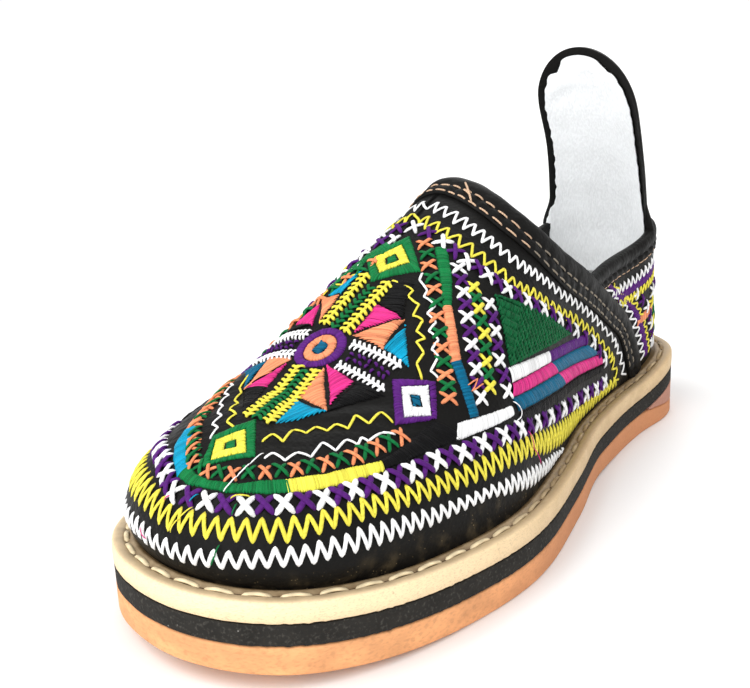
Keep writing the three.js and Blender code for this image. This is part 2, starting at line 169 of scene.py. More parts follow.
class ShoeColours(bpy.types.PropertyGroup):
    """Colours of the shoe."""

    leather: colour_prop("Black leather", "Upper and bindings", (0.0032, 0.003, 0.0027))
    crepe: colour_prop("Crepe", "Outsole", (0.84, 0.39, 0.165))
    wedge: colour_prop("Wedge", "Heel wedge", (0.42, 0.2, 0.14))
    foam: colour_prop("Foam", "Midsole", (0.015, 0.0138, 0.012))
    tan: colour_prop("Tan leather", "Welt", (0.8, 0.61, 0.37))
    footbed: colour_prop("Footbed", "Insole leather", (0.72, 0.68, 0.6))
    felt: colour_prop("Felt", "Lining of the tab and quarters", (0.8, 0.82, 0.835))
    seam: colour_prop("Seam thread", "Running stitches of the bindings", (0.62, 0.42, 0.28))
    worn_seam: colour_prop("Worn seam thread", "Running stitches towards the heel", (0.26, 0.22, 0.17))
    cord: colour_prop("Welt thread", "Stitches of the welt", (0.8, 0.66, 0.42))
    white: colour_prop("White", "White yarn", (0.92, 0.92, 0.92))
    yellow: colour_prop("Yellow", "Yellow yarn", (0.8, 0.7, 0.075))
    purple: colour_prop("Purple", "Purple yarn", (0.085, 0.012, 0.16))
    green: colour_prop("Green", "Green yarn", (0.004, 0.15, 0.04))
    orange: colour_prop("Orange", "Orange yarn", (0.8, 0.27, 0.12))
    salmon: colour_prop("Salmon", "Salmon floss", (0.76, 0.26, 0.125))
    cyan: colour_prop("Cyan", "Light blue floss", (0.002, 0.28, 0.46))
    teal: colour_prop("Teal", "Dark blue floss", (0.001, 0.105, 0.2))
    magenta: colour_prop("Magenta", "Magenta floss", (0.62, 0.03, 0.21))
    patch: colour_prop("Dark green", "Dark green floss of the side patches", (0.003, 0.09, 0.028))
    black: colour_prop("Black", "Black floss", (0.0028, 0.0027, 0.003))


class StageSettings(bpy.types.PropertyGroup):
    """Floor and light."""

    floor: colour_prop("Floor", "Colour of the floor", (0.9, 0.9, 0.9))
    key: FloatProperty(name="Key light", description="Strength of the key light", default=1.75)
    sky: FloatProperty(name="Sky", description="Brightness of the room overhead", default=0.5)


def sizes():
    """The scene's shoe sizes."""
    return bpy.context.scene.shoe_sizes


def colours():
    """The scene's shoe colours."""
    return bpy.context.scene.shoe_colours


# Form of the last


def column(rows, name, at):
    """Smooth value of one column of a table at given stations."""
    stations = np.array(rows["station"])
    values = np.array(rows[name])
    at = np.asarray(at, dtype=float)
    last = len(stations) - 1
    i = np.clip(np.searchsorted(stations, at, side="right") - 1, 0, last - 1)
    before = np.maximum(i - 1, 0)
    after = np.minimum(i + 2, last)
    span = stations[i + 1] - stations[i]
    start = (values[i + 1] - values[before]) / (stations[i + 1] - stations[before]) * span
    end = (values[after] - values[i]) / (stations[after] - stations[i]) * span
    t = np.clip((at - stations[i]) / span, 0, 1)
    rest = 1 - t
    smooth = (
        values[i] * rest * rest * (1 + 2 * t)
        + values[i + 1] * t * t * (3 - 2 * t)
        + start * t * rest * rest
        - end * t * t * rest
    )
    return np.where(at <= stations[0], values[0], np.where(at >= stations[last], values[last], smooth))


def ramp(start, end, at):
    """Smooth step from 0 at start to 1 at end."""
    t = np.clip((np.asarray(at, dtype=float) - start) / (end - start), 0, 1)
    return t * t * (3 - 2 * t)


def unit(vectors):
    """Vectors scaled to length one."""
    return vectors / np.maximum(np.linalg.norm(vectors, axis=-1, keepdims=True), 1e-12)


def distances(points):
    """Distance along a line of points up to each of them. A grid is measured along its columns."""
    steps = np.linalg.norm(np.diff(points, axis=0), axis=-1)
    return np.concatenate([np.zeros((1, *steps.shape[1:])), np.cumsum(steps, axis=0)])


def station_of(y):
    """Share of the length at a place along the shoe."""
    return y / sizes().length + 0.5


def place_of(station):
    """Place along the shoe of a share of the length."""
    return (np.asarray(station) - 0.5) * sizes().length


def spring_rise(station):
    """Rise of the sole towards the toe tip."""
    return sizes().toe_spring * np.maximum(0, (SPRING_END - station) / SPRING_END) ** 2


def floor_face(station):
    """Height of the outsole's underside."""
    share = np.clip((station - ARCH_START) / (ARCH_END - ARCH_START), 0, 1)
    return spring_rise(station) + sizes().arch_rise * np.sin(math.pi * share) ** 2


def outsole_top(station):
    """Height of the outsole's top."""
    let_in = sizes().lift_let_in * ramp(LIFT_START, LIFT_FULL, station)
    return sizes().outsole + spring_rise(station) - let_in


def lift_top(station):
    """Height of the heel wedge's top."""
    return outsole_top(station) + sizes().heel_lift * ramp(LIFT_START, LIFT_FULL, station)


def midsole_top(station):
    """Height of the midsole's top."""
    return lift_top(station) + sizes().midsole


def welt_top(station):
    """Height of the welt's top."""
    return midsole_top(station) + sizes().welt


def outline(theta):
    """Sole outline by an angle that runs from the toe over the outer side to the heel and back."""
    station = (1 - np.cos(theta)) / 2
    centre = column(OUTLINE, "centre", station)
    breadth = column(OUTLINE, "breadth", station)
    x = sizes().ball_width * (centre + np.sin(theta) * breadth)
    return np.stack([x, place_of(station)], axis=-1)


def sole_loop(theta, inset):
    """Points of the outline drawn in by an inset, and the outline's own place along the shoe."""
    nudge = 1e-3
    along = unit(outline(theta + nudge) - outline(theta - nudge))
    own = outline(theta)
    inset = np.asarray(inset)[..., None] if np.ndim(inset) else inset
    inward = np.stack([-along[:, 1], along[:, 0]], axis=-1)
    return own + inward * inset, own[:, 1]


def even_angles(count, inset):
    """Angles that divide the drawn-in outline into even steps, and the step."""
    dense = np.linspace(0, 2 * math.pi, 8 * count + 1)
    points, _ = sole_loop(dense, inset)
    travel = distances(points)
    wanted = np.arange(count) * travel[-1] / count
    return np.interp(wanted, travel, dense), travel[-1] / count


def crest_place(y):
    """Place along the shoe where the rib from a foot at y meets the crest."""
    blend = MIDDLE_BLEND * sizes().length
    front = place_of(TOE_MIDDLE)
    back = place_of(HEEL_MIDDLE)
    rising = front + (y - front + blend) ** 2 / (4 * blend)
    falling = back - (back + blend - y) ** 2 / (4 * blend)
    inside = np.where(y < front + blend, rising, np.where(y <= back - blend, y, falling))
    return np.where(y <= front - blend, front, np.where(y >= back + blend, back, inside))


def ribs(theta, turns, offset=0.0, creased=False):
    """Points on the last's ribs. theta has one value per rib, turns one row per step."""
    foot, own = sole_loop(theta, sizes().welt_lip - offset)
    y = crest_place(own)
    station = station_of(y)
    own_station = station_of(own)
    x = sizes().ball_width * column(CREST, "drift", station)
    power = 2 / column(RIBS, "round", own_station)
    bulge = column(RIBS, "bulge", own_station)
    crest = welt_top(station) + sizes().instep * column(CREST, "height", station) + offset
    base = welt_top(own_station)
    turns = np.asarray(turns) if np.ndim(turns) == 2 else np.asarray(turns)[:, None]
    cosine = np.maximum(np.cos(turns), 0)
    out = cosine**power + bulge * np.sin(2 * turns) * cosine
    up = np.sin(turns) ** power
    points = np.stack(
        [x + (foot[:, 0] - x) * out, y + (foot[:, 1] - y) * out, base + (crest - base) * up],
        axis=-1,
    )
    if creased:
        middle = np.stack([x, y, base], axis=-1)
        points = points + unit(points - middle) * relief(points)[..., None]
    return points


# Creases of the vamp: both ends in plan, depth and half width, in millimetres
CREASES = (
    {"start": (10.5, -34.0), "end": (13.0, -46.0), "depth": 0.5, "half": 1.6},
    {"start": (12.5, -77.0), "end": (23.0, -64.5), "depth": 0.45, "half": 1.8},
    {"start": (8.0, -90.0), "end": (21.0, -77.0), "depth": 0.3, "half": 2.2},
    {"start": (-13.0, -86.0), "end": (-22.0, -72.0), "depth": 0.4, "half": 2.0},
    {"start": (-14.0, -34.0), "end": (-19.0, -48.0), "depth": 0.4, "half": 1.8},
    {"start": (30.0, -20.0), "end": (36.0, -44.0), "depth": 0.25, "half": 3.0},
    {"start": (-34.0, -24.0), "end": (-40.0, -44.0), "depth": 0.25, "half": 3.0},
    {"start": (-7.0, 4.0), "end": (20.0, 4.0), "depth": 0.3, "half": 3.0},
)


def relief(points):
    """Height of creases and slight puckers over the smooth last."""
    x = points[..., 0] / MM
    y = points[..., 1] / MM
    z = points[..., 2] / MM
    slow = 0.07 * np.sin(0.83 * x + 0.31 * z) * np.sin(0.71 * y + 1.3)
    height = (slow + 0.05 * np.sin(1.3 * y - 0.9 * x + z)) * ramp(24, 34, z)
    for crease in CREASES:
        (ax, ay), (bx, by) = crease["start"], crease["end"]
        length = math.hypot(bx - ax, by - ay)
        along = ((x - ax) * (bx - ax) + (y - ay) * (by - ay)) / length
        across = ((x - ax) * (by - ay) - (y - ay) * (bx - ax)) / length
        fade = ramp(-0.25 * length, 0.25 * length, along) * (1 - ramp(0.75 * length, 1.25 * length, along))
        trough = np.exp(-((across / crease["half"]) ** 2))
        shoulder = 0.5 * np.exp(-(((np.abs(across) - 2 * crease["half"]) / crease["half"]) ** 2))
        height -= crease["depth"] * fade * (trough - shoulder)
    return height * MM


def grid_normals(grid):
    """Unit normals of a grid of points, rows up the ribs, columns along the feather line."""
    up = np.gradient(grid, axis=0)
    along = np.gradient(grid, axis=1)
    return unit(np.cross(along, up))


def resampled(line, travel, wanted):
    """A line of points read at wanted distances along it."""
    return np.stack([np.interp(wanted, travel, line[:, axis]) for axis in range(line.shape[1])], axis=-1)


def even_rows(grid, rows):
    """The grid's columns resampled into rows of even spacing."""
    travel = distances(grid)
    columns = range(grid.shape[1])
    lines = [resampled(grid[:, k], travel[:, k], np.linspace(0, travel[-1, k], rows)) for k in columns]
    return np.stack(lines, axis=1)


def edge_height(rows, scale, y):
    """Height of a side-view edge line at a place along the shoe."""
    return welt_top(np.array(0.5)) + scale * column(rows, "height", station_of(y))


def turns_to_edge(theta, rows, scale, offset):
    """Turn at which each rib reaches a side-view edge line, or the crest."""
    dense = np.linspace(0, CREST_TURN, 400)
    points = ribs(theta, dense, offset)
    y = points[..., 1]
    over = points[..., 2] - edge_height(rows, scale, y)
    over[y < place_of(rows["station"][0])] = -1
    crossed = over > 0
    first = np.where(crossed.any(axis=0), crossed.argmax(axis=0), len(dense) - 1)
    low = np.maximum(first - 1, 0)
    columns = np.arange(len(theta))
    a, b = over[low, columns], over[first, columns]
    share = np.where(crossed.any(axis=0) & (b > a), -a / np.where(b > a, b - a, 1), 1)
    return dense[low] + (dense[first] - dense[low]) * np.clip(share, 0, 1)


def edge_angles(rows, scale, offset, start, end, spacing):
    """Angles between two stations whose ribs meet the edge line at even spacing."""
    dense = np.arccos(1 - 2 * np.linspace(start, end, 3000))
    turns = turns_to_edge(dense, rows, scale, offset)
    points = ribs(dense, turns[None, :], offset)[0]
    travel = distances(points)
    count = int(travel[-1] / spacing)
    return np.interp(np.linspace(0, travel[-1], count), travel, dense)


# Meshes


def make_mesh(name, points, quads, materials, attributes=None, picks=None):
    """Object from arrays of points and quads. attributes are floats or vectors per point."""
    mesh = bpy.data.meshes.new(name)
    mesh.vertices.add(len(points))
    mesh.vertices.foreach_set("co", np.asarray(points, dtype=np.float32).ravel())
    mesh.loops.add(len(quads) * 4)
    mesh.loops.foreach_set("vertex_index", np.asarray(quads, dtype=np.int32).ravel())
    mesh.polygons.add(len(quads))
    mesh.polygons.foreach_set("loop_start", np.arange(len(quads), dtype=np.int32) * 4)
    if picks is not None:
        mesh.polygons.foreach_set("material_index", np.asarray(picks, dtype=np.int32))
    for key, values in (attributes or {}).items():
        values = np.asarray(values, dtype=np.float32)
        kind = "FLOAT" if values.ndim == 1 else "FLOAT_VECTOR"
        layer = mesh.attributes.new(key, kind, "POINT")
        layer.data.foreach_set("value" if values.ndim == 1 else "vector", values.ravel())
    mesh.update(calc_edges=True)
    mesh.validate()
    mesh.shade_smooth()
    for material in materials:
        mesh.materials.append(material)
    piece = bpy.data.objects.new(name, mesh)
    bpy.context.scene.collection.objects.link(piece)
    return piece


def weld(piece, distance=2e-5, sharp=None):
    """Merges points that coincide, and marks edges over an angle as sharp."""
    bm = bmesh.new()
    bm.from_mesh(piece.data)
    bmesh.ops.remove_doubles(bm, verts=bm.verts, dist=distance)
    bmesh.ops.dissolve_degenerate(bm, edges=bm.edges, dist=distance / 4)
    bmesh.ops.recalc_face_normals(bm, faces=bm.faces)
    if sharp is not None:
        for edge in bm.edges:
            edge.smooth = not (edge.is_manifold and edge.calc_face_angle(0) > sharp)
    bm.to_mesh(piece.data)
    bm.free()
    piece.data.update()


def finish_piece(piece, slot, *nodes):
    """Puts the piece on the shoe's one body and hides the nodes it stands for. slot is not used."""
    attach(piece, "root")
    if nodes:
        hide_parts(*nodes)


def lattice(rows, columns, closed=False, start=0):
    """Quads of a grid of points, rows by columns."""
    r = np.arange(rows - 1)[:, None]
    c = np.arange(columns if closed else columns - 1)[None, :]
    a = start + r * columns + c
    b = start + r * columns + (c + 1) % columns
    return np.stack([a, b, b + columns, a + columns], axis=-1).reshape(-1, 4)


# Socket maths for materials


class Value:
    """A number that varies over a surface. Its operators add Math nodes."""

    def __init__(self, shader, socket):
        self.shader = shader
        self.socket = socket

    def _math(self, operation, *values):
        node = self.shader.add("ShaderNodeMath", {"operation": operation}, *values)
        return Value(self.shader, node.outputs[0])

    def __add__(self, other):
        return self._math("ADD", self, other)

    def __radd__(self, other):
        return self._math("ADD", other, self)

    def __sub__(self, other):
        return self._math("SUBTRACT", self, other)

    def __rsub__(self, other):
        return self._math("SUBTRACT", other, self)

    def __mul__(self, other):
        return self._math("MULTIPLY", self, other)

    def __rmul__(self, other):
        return self._math("MULTIPLY", other, self)

    def sine(self):
        """Sine of the value."""
        return self._math("SINE", self)

    def clamp(self):
        """The value kept between 0 and 1."""
        node = self.shader.add("ShaderNodeClamp", {}, self)
        return Value(self.shader, node.outputs[0])

    def over(self, low, high):
        """Soft step that is 0 under low and 1 over high."""
        settings = {"interpolation_type": "SMOOTHSTEP"}
        node = self.shader.add("ShaderNodeMapRange", settings, self, low, high, 0.0, 1.0)
        return Value(self.shader, node.outputs[0])


# The materials of this file by name; the CAD parts have materials with some of the same names
materials_made = {}


class Shader:
    """A material with a Principled shader."""

    def __init__(self, name, roughness=0.5, **uniform):
        self.material = bpy.data.materials.new(name)
        materials_made[name] = self.material
        self.material.use_nodes = True
        self.tree = self.material.node_tree
        self.tree.nodes.clear()
        self.surface = self.tree.nodes.new("ShaderNodeBsdfPrincipled")
        output = self.tree.nodes.new("ShaderNodeOutputMaterial")
        self.tree.links.new(self.surface.outputs[0], output.inputs["Surface"])
        self.surface.inputs["Roughness"].default_value = roughness
        for key, value in uniform.items():
            socket = key.replace("_", " ").title().replace("Ior", "IOR")
            self.surface.inputs[socket].default_value = value

    def add(self, kind, settings, *values, **named):
        """Adds a node, sets its settings, then its sockets by order or by name."""
        node = self.tree.nodes.new(kind)
        for key, value in settings.items():
            setattr(node, key, value)
        for socket, value in zip([s for s in node.inputs if s.enabled], values):
            self.feed(socket, value)
        for key, value in named.items():
            self.feed(node.inputs[key.replace("_", " ")], value)
        return node

    def feed(self, socket, value):
        """Links or sets a socket."""
        if isinstance(value, Value):
            value = value.socket
        if isinstance(value, bpy.types.NodeSocket):
            self.tree.links.new(value, socket)
        elif value is not None:
            socket.default_value = value

    def place(self):
        """Object coordinates, in metres."""
        return self.add("ShaderNodeTexCoord", {}).outputs["Object"]

    def attribute(self, name, output="Fac"):
        """An attribute of the mesh: Fac as a value, Vector as a link."""
        node = self.add("ShaderNodeAttribute", {"attribute_name": name})
        return Value(self, node.outputs[output]) if output == "Fac" else node.outputs[output]

    def parts(self, vector):
        """The three numbers of a vector."""
        node = self.add("ShaderNodeSeparateXYZ", {}, vector)
        return [Value(self, output) for output in node.outputs]

    def noise(self, size, detail=3.0, stretch=(1, 1, 1)):
        """Noise with features of a size in metres."""
        place = self.add("ShaderNodeVectorMath", {"operation": "MULTIPLY"}, self.place(), stretch)
        node = self.add("ShaderNodeTexNoise", {}, Vector=place.outputs[0], Scale=1 / size, Detail=detail)
        return Value(self, node.outputs[0])

    def cells(self, size, feature="F1"):
        """Distance in a cell pattern with cells of a size in metres."""
        node = self.add("ShaderNodeTexVoronoi", {"feature": feature}, Vector=self.place(), Scale=1 / size)
        return Value(self, node.outputs["Distance"])

    def mix(self, factor, first, second):
        """Colour between two colours."""
        node = self.add("ShaderNodeMix", {"data_type": "RGBA"})
        inputs = [s for s in node.inputs if s.enabled]
        for socket, value in zip(inputs, (factor, self.rgba(first), self.rgba(second))):
            self.feed(socket, value)
        return next(s for s in node.outputs if s.enabled)

    @staticmethod
    def rgba(colour):
        """A colour with alpha, or a link as it is."""
        return colour if isinstance(colour, bpy.types.NodeSocket) else (*colour, 1.0)

    def colour(self, value):
        """Sets the base colour."""
        self.feed(self.surface.inputs["Base Color"], self.rgba(value))

    def roughness(self, value):
        """Sets the roughness."""
        self.feed(self.surface.inputs["Roughness"], value)

    def bump(self, *layers):
        """Stacks bumps, each a height value, its depth in metres and a strength."""
        normal = None
        for height, depth, strength in layers:
            node = self.add("ShaderNodeBump", {}, Strength=strength, Distance=depth, Height=height)
            if normal is not None:
                self.feed(node.inputs["Normal"], normal)
            normal = node.outputs[0]
        self.feed(self.surface.inputs["Normal"], normal)


def shade(colour, factor):
    """A colour made darker or lighter."""
    return tuple(min(1.0, part * factor) for part in colour)


# Materials


def leather_material(name, grain=0.0011, gloss=0.36, dust=0.0):
    """Black leather: pebbled grain, soft sheen, fine dust near the welt."""
    shader = Shader(name, specular_ior_level=0.12)
    base = colours().leather
    cloudy = shader.noise(0.011, 4.0)
    pebbles = shader.cells(grain, "SMOOTH_F1")
    pores = shader.noise(grain * 0.45, 2.0)
    tone = shader.mix(cloudy, shade(base, 0.75), shade(base, 1.9))
    if dust:
        height = shader.parts(shader.place())[2]
        low = 1 - height.over(0.019, 0.031)
        specks = (1 - shader.cells(0.0011).over(0.06, 0.2)) * shader.noise(0.004, 2.0).over(0.48, 0.62)
        film = shader.noise(0.005, 5.0).over(0.45, 0.8) * 0.22
        tone = shader.mix(((specks + film) * low * dust).clamp(), tone, (0.32, 0.24, 0.13))
    shader.colour(tone)
    shader.roughness(gloss + 0.22 * shader.noise(0.006, 3.0) + 0.08 * pores)
    shader.bump(
        (cloudy, 0.0009, 0.18),
        (pebbles, 0.00022, 0.7),
        (pores, 0.00007, 0.6),
    )
    return shader.material


def felt_material():
    """White felt: matted fibres, faint grey shading, a few lint marks."""
    shader = Shader("white_felt", roughness=0.95, sheen_weight=0.25, sheen_roughness=0.5)
    base = colours().felt
    soft = shader.noise(0.014, 3.0)
    fibres = shader.noise(0.0006, 3.0, stretch=(1, 1, 0.35))
    stains = (1 - shader.cells(0.017).over(0.03, 0.09)) * shader.noise(0.009).over(0.55, 0.7)
    tone = shader.mix(soft.over(0.35, 0.75), shade(base, 0.93), base)
    tone = shader.mix((fibres.over(0.35, 0.7) * 0.6).clamp(), tone, shade(base, 1.12))
    shader.colour(shader.mix((stains * 0.35).clamp(), tone, (0.45, 0.45, 0.44)))
    shader.bump((soft, 0.0015, 0.4), (fibres, 0.0004, 0.8))
    return shader.material


def crepe_material():
    """Crepe rubber: warm orange, crumbly grain, sanded side, and painted shade that darkens it towards the
    heel.
    """
    shader = Shader("crepe_rubber", roughness=0.8)
    base = colours().crepe
    cloudy = shader.noise(0.012, 4.0, stretch=(1, 1, 2))
    crumbs = shader.noise(0.0014, 4.0, stretch=(1, 1, 2.2))
    pits = shader.cells(0.0032).over(0.12, 0.3)
    tone = shader.mix(cloudy.over(0.3, 0.75), shade(base, 0.82), shade(base, 1.12))
    tone = shader.mix((crumbs.over(0.45, 0.75) * 0.55).clamp(), tone, shade(base, 0.62))
    tone = shader.mix(((1 - pits) * 0.3).clamp(), tone, shade(base, 0.5))
    # Darker brown towards the heel: painted shade of the sole's side.
    back = shader.parts(shader.place())[1].over(-0.1, 0.0)
    shader.colour(shader.mix(back * 0.8, tone, (0.5, 0.2, 0.085)))
    shader.roughness(0.72 + 0.2 * crumbs)
    shader.bump((cloudy, 0.0008, 0.25), (crumbs, 0.00032, 0.6), (pits, 0.0002, 0.4))
    return shader.material


def wedge_material():
    """Brown rubber of the heel wedge."""
    shader = Shader("lift_rubber", roughness=0.85)
    base = colours().wedge
    crumbs = shader.noise(0.0011, 4.0, stretch=(1, 1, 2))
    cloudy = shader.noise(0.008, 3.0)
    tone = shader.mix(cloudy, shade(base, 0.8), shade(base, 1.25))
    shader.colour(shader.mix((crumbs.over(0.5, 0.78) * 0.4).clamp(), tone, shade(base, 0.6)))
    shader.bump((crumbs, 0.00028, 0.6))
    return shader.material


def foam_material():
    """Black foam: sanded, with pale specks."""
    shader = Shader("black_foam", roughness=0.88, specular_ior_level=0.2)
    base = colours().foam
    grain = shader.noise(0.0009, 4.0)
    cloudy = shader.noise(0.006, 3.0, stretch=(1, 1, 2))
    specks = (1 - shader.cells(0.0034).over(0.03, 0.085)) * shader.noise(0.011).over(0.5, 0.62)
    tone = shader.mix(cloudy, shade(base, 0.7), shade(base, 1.9))
    tone = shader.mix((grain.over(0.5, 0.75) * 0.6).clamp(), tone, shade(base, 5.0))
    shader.colour(shader.mix((specks * 0.6).clamp(), tone, (0.4, 0.38, 0.35)))
    shader.bump((cloudy, 0.0005, 0.25), (grain, 0.00022, 0.6))
    return shader.material


def tan_material():
    """Natural leather of the welt: smooth top, brown grime and painted shade in the groove and at its
    joints, browner towards the heel, cut edge with fibres.
    """
    shader = Shader("tan_leather", roughness=0.5, coat_weight=0.12, coat_roughness=0.35)
    base = colours().tan
    soil = shader.attribute("soil")
    cut = shader.attribute("cut_edge")
    patches = shader.noise(0.007, 4.0)
    fibres = shader.noise(0.0008, 4.0, stretch=(1, 1, 2.4))
    grain = shader.cells(0.0006, "SMOOTH_F1")
    tone = shader.mix(patches.over(0.3, 0.72), shade(base, 0.78), shade(base, 1.0))
    edge = shader.mix((fibres.over(0.48, 0.72) * 0.55).clamp(), shade(base, 1.22), shade(base, 0.72))
    tone = shader.mix(cut.clamp(), tone, edge)
    # Browner towards the heel: grime, and painted shade of the shoe's side.
    back = shader.parts(shader.place())[1].over(-0.1, 0.0)
    tone = shader.mix(back * (0.35 + 0.5 * patches), tone, (0.42, 0.27, 0.12))
    # Dark brown in the groove and at the joints with the upper and the midsole: grime and painted shade.
    dirt_and_shade = (soil * (0.45 + 0.9 * shader.noise(0.0028, 4.0))).clamp()
    tone = shader.mix(dirt_and_shade, tone, (0.15, 0.09, 0.035))
    dots = (1 - shader.cells(0.0042).over(0.03, 0.1)) * shader.noise(0.013).over(0.5, 0.6)
    shader.colour(shader.mix((dots * 0.6).clamp(), tone, (0.25, 0.15, 0.06)))
    shader.roughness(0.42 + 0.25 * patches + 0.15 * cut)
    shader.bump((patches, 0.0008, 0.2), (grain, 0.00006, 0.35), (fibres * cut, 0.0003, 0.7))
    return shader.material


def footbed_material():
    """Pale leather of the footbed."""
    shader = Shader("footbed_leather", roughness=0.62)
    base = colours().footbed
    patches = shader.noise(0.016, 4.0)
    grain = shader.cells(0.0008, "SMOOTH_F1")
    shader.colour(shader.mix(patches, shade(base, 0.82), shade(base, 1.1)))
    shader.roughness(0.55 + 0.2 * patches)
    shader.bump((patches, 0.001, 0.2), (grain, 0.00009, 0.4))
    return shader.material


def yarn_material(name, colour, gloss=0.5, pitch=0.0016, deep=0.84):
    """Thread: plies that wind round it with painted shade between them, fibres along it and a tone of its
    own for each stitch.
    """
    shader = Shader(name, roughness=gloss, specular_ior_level=0.1, sheen_weight=0.04, sheen_roughness=0.4)
    along, around, tone_of = shader.parts(shader.attribute("strand", "Vector"))
    twist = ((along * (2 * math.pi / pitch)) + around * (2 * math.pi)).sine()
    fibres = shader.noise(0.00022, 2.0)
    base = shader.mix(tone_of.clamp(), shade(colour, 0.82), shade(colour, 1.12))
    # Darker where the twist dips: painted shade in the grooves between the plies.
    base = shader.mix((twist * 0.5 + 0.5).over(0.0, 0.6), shade(colour, deep), base)
    shader.colour(shader.mix((fibres.over(0.5, 0.75) * 0.3).clamp(), base, shade(colour, 1.35)))
    shader.roughness(gloss + 0.2 * fibres)
    shader.bump((twist, 0.00006, 0.35), (fibres, 0.00007, 0.6))
    return shader.material


def floss_material(name, colour):
    """Silky floss: fine strands that shine along their length, with painted sheen in the tone of each
    strand and painted highlights on its fibres.
    """
    shader = Shader(name, roughness=0.4, specular_ior_level=0.1)
    along, around, tone_of = shader.parts(shader.attribute("strand", "Vector"))
    strands = (around * (2 * math.pi * 3) + along * 900.0).sine()
    fibres = shader.noise(0.0002, 2.0)
    # Tone of each strand: partly its own, partly painted sheen.
    base = shader.mix(tone_of.clamp(), shade(colour, 0.62), shade(colour, 1.35))
    # Light flecks on the fibres: painted highlights.
    shader.colour(shader.mix((fibres.over(0.45, 0.8) * 0.4).clamp(), base, shade(colour, 1.7)))
    shader.roughness(0.36 + 0.22 * fibres)
    shader.bump((strands, 0.00004, 0.5), (fibres, 0.00005, 0.5))
    return shader.material


# Sole

PLATE_POINTS = 900


def plate(name, material, profile, filled=True, start=None, extra=()):
    """Closed body between stacked loops. profile rows: inset, height function of the station, raise,
    border. A filled one is closed by rows drawn to the middle line. start cuts off its front."""
    theta, _ = even_angles(PLATE_POINTS, 0.0)
    if start is not None:
        theta = theta[(1 - np.cos(theta)) / 2 >= start]
    if filled:
        first, last = ({**row, "border": 0} for row in (profile[0], profile[-1]))
        shares = (0.0, 0.25, 0.5, 0.75)
        front = [{**first, "share": share} for share in shares]
        profile = front + profile + [{**last, "share": share} for share in shares[::-1]]
    loops = []
    for row in profile:
        points, own = sole_loop(theta, row["inset"])
        if "share" in row:
            middle = sizes().ball_width * column(OUTLINE, "centre", station_of(own))
            points[:, 0] = middle + (points[:, 0] - middle) * row["share"]
        heights = row["height"](station_of(own)) + row["raise"] + jagged(own, theta, row["border"])
        loops.append(np.column_stack([points, heights]))
    points = np.concatenate(loops)
    quads = lattice(len(loops), len(theta), closed=True)
    if not filled:
        last = (len(loops) - 1) * len(theta)
        a = np.arange(len(theta))
        b = (a + 1) % len(theta)
        quads = np.concatenate([quads, np.stack([last + a, last + b, b, a], axis=-1)])
    attributes = {key: np.repeat([row[key] for row in profile], len(theta)) for key in extra}
    piece = make_mesh(name, points, quads, [material], attributes)
    weld(piece, sharp=math.radians(50))
    return piece


def jagged(own, theta, border):
    """Unevenness of a border between two layers, the same for both. Border 0 is smooth."""
    if not border:
        return 0.0
    run = own / MM + 60 * np.sign(np.sin(theta)) * border
    wave = 0.45 * np.sin(run * 2.03) + 0.35 * np.sin(run * 3.7 + 1.1) + 0.3 * np.sin(run * 1.17 + 2.3)
    return 0.00019 * wave * (0.6 + 0.4 * np.sin(run * 0.31))


def side_rows(bottom, top, low, high, edge, borders=(0, 0)):
    """Profile of a sole layer: its side from bottom to top with both edges rounded."""
    rows = []
    for height, start, way, border in ((bottom, low, 1, borders[0]), (top, high, -1, borders[1])):
        for turn in np.linspace(0, math.pi / 2, 5)[::way]:
            inset = edge * (1 - math.sin(turn))
            rise = start + way * edge * (1 - math.cos(turn))
            rows.append({"inset": inset, "height": height, "raise": rise, "border": border})
    return rows


def rough_side(piece, depth, size, seed):
    """Moves a sole layer's side in and out a little, as a sanded edge."""
    mesh = piece.data
    points = np.empty(len(mesh.vertices) * 3)
    mesh.vertices.foreach_get("co", points)
    points = points.reshape(-1, 3)
    x, y, z = points.T / size
    waves = np.sin(y + seed) + np.sin(x * 1.7 + z + seed)
    points[:, :2] += unit(points[:, :2]) * (0.25 * depth * waves)[:, None]
    mesh.vertices.foreach_set("co", points.ravel())
    mesh.update()


class SHOE_OT_sole(bpy.types.Operator):
    """Build outsole, heel wedge, midsole and insole"""

    bl_idname = "shoe.sole"
    bl_label = "Build Sole"

    def execute(self, context):
        s = sizes()
        gap = s.gap
        rows = side_rows(floor_face, outsole_top, 0.0, 0.0, 0.0008, (0, 1))
        outsole = plate("crepe_outsole", crepe_material(), rows)
        rough_side(outsole, 0.0002, 0.006, 0.4)
        finish_piece(outsole, "crepe_rubber", "outsole")
        start = LIFT_START + (LIFT_FULL - LIFT_START) * WEDGE_FRONT
        rows = side_rows(outsole_top, lift_top, gap, 0.0, 0.0002, (1, 2))
        wedge = plate("rubber_wedge", wedge_material(), rows, start=start)
        finish_piece(wedge, "lift_rubber", "heel_wedge")
        rows = side_rows(lift_top, midsole_top, gap, 0.0, 0.0003, (1, 3))
        midsole = plate("foam_midsole", foam_material(), rows)
        rough_side(midsole, 0.0002, 0.004, 1.9)
        finish_piece(midsole, "black_foam", "midsole")
        inset = s.welt_lip + s.vamp_step + s.wall + 4 * gap
        rows = side_rows(midsole_top, welt_top, gap, s.insole_rise, 0.0008)
        for row in rows:
            row["inset"] += inset
        footbed = plate("leather_footbed", footbed_material(), rows)
        finish_piece(footbed, "footbed_leather", "insole")
        return {"FINISHED"}


WELT_GROOVE = 0.0039
WELT_PITCH = 0.0092
WELT_STITCH = 0.0083
GROOVE_DETAIL = 720


